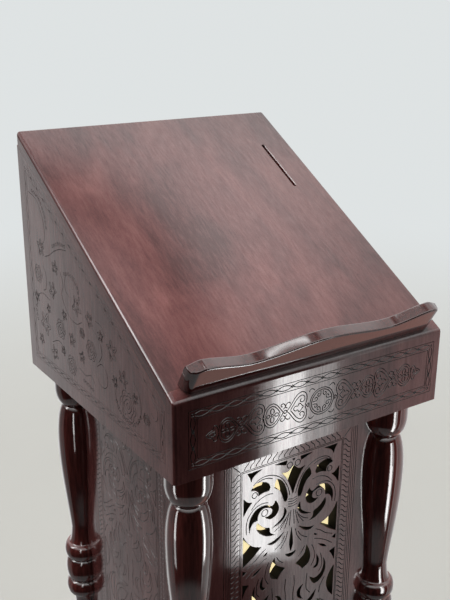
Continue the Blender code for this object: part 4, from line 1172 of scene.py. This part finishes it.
def makeScrews(hinge, leaf):
    node = hinge + leaf
    low, high = boxOf(node)
    axis = sum(boxOf(hinge + "pin"), Vector()) / 2
    side = 1 if low.x + high.x > 2 * axis.x else -1
    radius, rise, half = hardware["screwRadius"], hardware["screwRise"], hardware["screwSlot"] / 2
    profile = [(0.0, -rise), (radius, -rise), (radius, 0.3 * rise), (0.8 * radius, 0.8 * rise), (0.0, rise)]
    heads = []
    for step in (-1, 0, 1):
        out = hardware["screwOut"] + (hardware["screwShift"] if step else -hardware["screwShift"])
        place = Vector((axis.x + side * out, axis.y - hardware["leafFace"],
                        axis.z + step * hardware["screwStep"]))
        head = turnPiece(node + "Screw", profile, 24, place, facingBack)
        head.data.materials.append(brass)
        slot = addBlock("screwSlot", (-2 * radius, 0.0, -half), (2 * radius, 0.01, half))
        slot.rotation_euler.y = 0.5 + 1.1 * step  # no two slots lie alike
        slot.location = place
        # the slot walls take the near-black line finish: painted shade in the slot
        settle(slot).data.materials.append(shadedLine)
        cutWith(head, slot)
        heads.append(head)
    pick(heads[0])
    for head in heads[1:]:
        head.select_set(True)
    bpy.ops.object.join()
    finishPiece(heads[0], brass, None, 30.0)
    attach(heads[0], bodyOf[node])


def makePlug(node):
    barrel = copyPiece(nodes[node], node + "Turned")
    low, high = boxOf(node)
    middle = (low + high) / 2
    wide, tall, deep = hardware["keyWide"] / 2, hardware["keyTall"] / 2, hardware["keyDeep"]
    slot = addBlock("keySlot", (middle.x - wide, high.y - deep, middle.z - tall),
                    (middle.x + wide, high.y + 0.01, middle.z + tall))
    # the keyway walls take the near-black line finish: painted shade in the keyway
    slot.data.materials.append(shadedLine)
    weld(barrel, easing["weld"])
    cutWith(barrel, slot)
    finishPiece(barrel, nickel, node, 30.0)


def makeKnob():
    low, high = boxOf("cabinet_knob")
    radius, neck = hardware["knob"], hardware["knobNeck"]
    foot, footTop = hardware["knobFoot"], hardware["knobFootHeight"]
    hollow, arris, gap = hardware["knobHollow"], hardware["knobArris"], hardware["knobGap"]
    ball = hardware["knobLength"] - radius
    turns = [math.radians(90 - 6 * step) for step in range(1, 25)]
    profile = [(radius * math.cos(turn), ball + radius * math.sin(turn)) for turn in turns]
    profile = [point for point in profile if point[0] > neck or point[1] > ball]
    profile = [(0.0, hardware["knobLength"])] + profile + [
        (neck, footTop + neck / 2), (neck + hollow, footTop + hollow), (foot - arris, footTop),
        (foot, footTop - arris), (foot, gap), (0.0, gap)]
    place = ((low.x + high.x) / 2, low.y - gap, (low.z + high.z) / 2)
    knob = turnPiece("cabinetKnobTurned", profile, 48, place, facingBack)
    finishPiece(knob, lacquer, "cabinet_knob", 40.0)


for door in ("hatch", "cabinet"):
    for end in ("upper", "lower"):
        for leaf in ("frame_leaf", "door_leaf"):
            makeScrews(f"{door}_hinge_{end}_", leaf)
    makePlug(door + "_lock_plug")
makeKnob()
print("stage 8: door hardware made")

for name, part in nodes.items():  # pieces whose CAD shape is right keep it
    for key, finish in (("hinge", brass), ("lock", nickel), ("glide", padding)):
        if key in name:
            part.data.materials.clear()
            part.data.materials.append(finish)


# floor, light and camera

studio = {"floor": (0.409, 0.405, 0.378), "backdrop": (0.735, 0.766, 0.770), "nearFade": 1.2, "farFade": 4.5,
          "leftWindow": (162.0, 15.0, 15.0, 9.0), "leftWindowEdges": (0.3, 0.4, 0.8, 0.96),
          "skylight": (-5.5, 5.0, 5.0, 7.0), "skylightEdges": (0.904, 0.916, 0.944, 0.952),
          "upward": ((0.30, 0.0), (0.62, 1.0)), "downward": ((0.14, 1.0), (0.158, 0.0)),
          "overhead": ((0.80, 0.0), (0.97, 1.0)), "behind": ((0.46, 0.0), (0.62, 1.0)),
          "aboveFloor": ((0.42, 0.0), (0.52, 1.0)),
          "walls": ((-52.6, 0.015), (-50.4, 1.5), (-47.6, 0.85), (-44.6, 0.50), (106.0, 0.95), (111.0, 0.73),
                    (115.0, 0.43), (119.0, 0.28), (124.0, 0.25), (157.0, 0.25), (162.0, 0.015)),
          "strips": (("rightStrip", (0.195, -0.52), (0.335, 0.60), 0.085, 6.4),
                     ("rightStripTop", (0.183, -0.52), (0.60, 0.82), 0.055, 6.0),
                     ("rightGlow", (0.205, -0.521), (0.31, 0.82), 0.14, 1.7),
                     ("leftStrip", (-0.48, -0.14), (0.58, 0.84), 0.06, 4.5),
                     ("leftStripEnd", (-0.48, -0.14), (0.46, 0.58), 0.06, 2.0)),
          "ceiling": ((0.74, 0.80), (0.77, 0.90), (0.80, 1.0), (0.832, 1.0), (0.848, 0.72), (0.866, 0.20),
                      (0.876, 0.20), (0.887, 0.46)),
          "ceilingTurn": ((-72.0, 1.2), (-26.0, 1.2), (-14.0, 1.0), (-10.0, 0.64), (0.0, 0.64), (4.0, 0.68),
                          (8.0, 0.80), (14.0, 0.92), (20.0, 0.97), (30.0, 0.92), (42.0, 0.88)),
          "ceilingRise": ((22.0, 0.0), (34.0, 0.015), (42.0, 0.034), (60.0, 0.06)),
          "brightUpper": 1.85, "below": 0.28, "belowWarm": 0.55, "belowTint": (1.0, 0.58, 0.51),
          "warmTurn": ((-32.0, 0.0), (-20.0, 1.0), (16.0, 1.0), (28.0, 0.0)), "floorBounce": 0.08,
          "softTurn": ((-180.0, 0.40), (-168.0, 0.02), (-52.0, 0.02), (-40.0, 0.06), (-10.0, 0.30),
                       (15.0, 0.75), (100.0, 0.75), (125.0, 0.80), (165.0, 0.80), (180.0, 0.40)),
          "roofLight": 11.2,
          "sideLamp": {"place": (0.50, -0.46, 0.74), "aim": (0.15, -0.2, 0.86), "size": 0.2, "power": 1.35}}
viewpoint = {"place": (-0.6872, -1.0206, 1.3939), "azimuth": 33.884, "down": 19.239, "roll": 0.364,
             "lens": 52.105}


def makeFloor():
    bpy.ops.object.select_all(action="DESELECT")
    bpy.ops.mesh.primitive_plane_add(size=30.0, location=(0.0, 0.0, 0.0))
    floor = bpy.context.object
    floor.name = "studioFloor"
    floor.data.materials.append(newFinish("studioFloorPaint"))
    place = objectPlace()
    low = tuple(0.985 * value for value in studio["floor"])
    feed("Base Color", addRamp(addNoise(place, 3.0, 3.0), (0.3, low), (0.7, studio["floor"])))
    feed("Roughness", 0.8)
    reach = addNode("ShaderNodeVectorMath", operation="LENGTH")
    plug(place, reach.inputs[0])
    fade = addNode("ShaderNodeMapRange", interpolation_type="SMOOTHSTEP", Value=reach.outputs["Value"])
    plug(studio["nearFade"], fade.inputs["From Min"])
    plug(studio["farFade"], fade.inputs["From Max"])
    haze = addNode("ShaderNodeEmission", Color=(*studio["backdrop"], 1.0), Strength=1.0)
    paint = sheet["nodes"]["Principled BSDF"].outputs["BSDF"]
    faded = addShaderMix(fade.outputs["Result"], paint, haze.outputs["Emission"])
    plug(faded, sheet["nodes"]["Material Output"].inputs["Surface"])
    floor.visible_glossy = False
    floor.visible_diffuse = False


def makeWorld():  # pale walls behind and beside, a dark room on the viewer's side, bright ceiling
    world = bpy.data.worlds.new("studioWorld")
    bpy.context.scene.world = world
    world.use_nodes = True
    world.node_tree.nodes.clear()
    openSheet(world.node_tree)
    way = addNode("ShaderNodeTexCoord").outputs["Generated"]
    parts = addNode("ShaderNodeSeparateXYZ", Vector=way).outputs
    height = parts["Z"]
    turn = addMath("ARCTAN2", parts["Y"], parts["X"])
    share = addMath("ADD", addMath("MULTIPLY", turn, 0.5 / math.pi), 0.5)
    half = addMath("ADD", addMath("MULTIPLY", height, 0.5), 0.5)

    def aboutTurn(*stops):  # degrees from +X towards +Y, with a level each
        return addRamp(share, *((degrees / 360.0 + 0.5, level) for degrees, level in stops))

    def mixed(factor, first, second):
        blend = addNode("ShaderNodeMix", data_type="FLOAT")
        for socket, value in ((0, factor), (2, first), (3, second)):
            plug(value, blend.inputs[socket])
        return blend.outputs[0]

    def window(edges, middle, before, after, glow):  # a bright patch, edges are heights
        shape = aboutTurn((middle - before, 0.0), (middle, 1.0), (middle + after, 0.0))
        reach = addRamp(height, *zip(edges, (0.0, 1.0, 1.0, 0.0)))
        return addMath("MULTIPLY", addMath("MULTIPLY", shape, reach), glow)

    walls = aboutTurn(*studio["walls"])
    upward = addRamp(height, *studio["upward"])
    ceiling = addRamp(addMath("SUBTRACT", height, aboutTurn(*studio["ceilingRise"])), *studio["ceiling"])
    ceiling = addMath("MULTIPLY", ceiling, studio["brightUpper"])
    facing = aboutTurn(*((degrees, level / 4) for degrees, level in studio["ceilingTurn"]))
    ceiling = addMath("MULTIPLY", addMath("MULTIPLY", ceiling, facing), 4.0)
    downward = addRamp(half, *studio["downward"])
    warm = aboutTurn(*studio["warmTurn"])
    below = mixed(warm, studio["below"], studio["belowWarm"])
    level = mixed(downward, mixed(upward, walls, ceiling), below)
    glow = addMath("ADD", window(studio["leftWindowEdges"], *studio["leftWindow"]),
                   window(studio["skylightEdges"], *studio["skylight"]))
    tint = addMix(addMath("MULTIPLY", downward, warm), (0.98, 1.0, 1.0, 1.0), (*studio["belowTint"], 1.0))
    shine = addNode("ShaderNodeBackground", Color=tint, Strength=addMath("ADD", level, glow))
    behind = addRamp(addMath("ADD", parts["Y"], 0.5), *studio["behind"])
    roof = addMath("MULTIPLY", addRamp(height, *studio["overhead"]), behind)
    soft = mixed(roof, aboutTurn(*studio["softTurn"]), studio["roofLight"])
    soft = mixed(addRamp(half, *studio["aboveFloor"]), studio["floorBounce"], soft)
    diffuse = addNode("ShaderNodeBackground", Color=(1.0, 1.0, 1.0, 1.0), Strength=soft)
    pale = addNode("ShaderNodeBackground", Color=(*studio["backdrop"], 1.0), Strength=1.0)
    rays = addNode("ShaderNodeLightPath").outputs
    seen = addMath("MAXIMUM", rays["Is Camera Ray"], rays["Is Transmission Ray"])
    lit = addShaderMix(rays["Is Glossy Ray"], diffuse.outputs["Background"], shine.outputs["Background"])
    addNode("ShaderNodeOutputWorld", Surface=addShaderMix(seen, lit, pale.outputs["Background"]))


def hangLamp(name, place, way, power):
    light = bpy.data.lights.new(name, "AREA")
    light.energy = power
    lamp = bpy.data.objects.new(name, light)
    bpy.context.scene.collection.objects.link(lamp)
    lamp.location = place
    lamp.rotation_euler = way.to_track_quat("-Z", "Y").to_euler()
    lamp.visible_camera = False
    return lamp


def makeStrips():  # upright strip lamps, they leave mirror images and light no stain
    turnedPieces = bpy.data.collections.new("turnedPieces")
    for piece in bpy.data.objects:
        if piece.name.startswith("column"):
            turnedPieces.objects.link(piece)
    for name, (x, y), (low, high), width, radiance in studio["strips"]:
        tall = high - low
        lamp = hangLamp(name, (x, y, (low + high) / 2), Vector((-x, -y, 0.0)), 4 * radiance * width * tall)
        lamp.data.shape = "RECTANGLE"
        lamp.data.size, lamp.data.size_y = width, tall
        lamp.visible_diffuse = False
        if name.startswith("left"):  # on the flat side it would leave a pale rectangle
            lamp.light_linking.receiver_collection = turnedPieces


def makeLamp():  # a soft lamp beside the front, it lights the stain and leaves no mirror image
    sizes = studio["sideLamp"]
    lamp = hangLamp("sideLamp", sizes["place"], Vector(sizes["aim"]) - Vector(sizes["place"]), sizes["power"])
    lamp.data.size = sizes["size"]
    lamp.visible_glossy = False


def makeCamera():
    lens = bpy.data.cameras.new("photoCamera")
    lens.sensor_width = 36.0
    lens.lens = viewpoint["lens"]
    camera = bpy.data.objects.new("photoCamera", lens)
    bpy.context.scene.collection.objects.link(camera)
    turn, down, roll = (math.radians(viewpoint[key]) for key in ("azimuth", "down", "roll"))
    ahead = Vector((math.sin(turn) * math.cos(down), math.cos(turn) * math.cos(down), -math.sin(down)))
    right = Vector((math.cos(turn), -math.sin(turn), 0.0))
    up = right.cross(ahead)
    tilted = right * math.cos(roll) + up * math.sin(roll)
    upright = up * math.cos(roll) - right * math.sin(roll)
    camera.matrix_world = Matrix.Translation(viewpoint["place"]) @ Matrix(
        (tilted, upright, -ahead)).transposed().to_4x4()
    bpy.context.scene.camera = camera


makeFloor()
makeWorld()
makeStrips()
makeLamp()
makeCamera()
bpy.context.scene.view_settings.view_transform = "Standard"
print("stage 9: studio made")
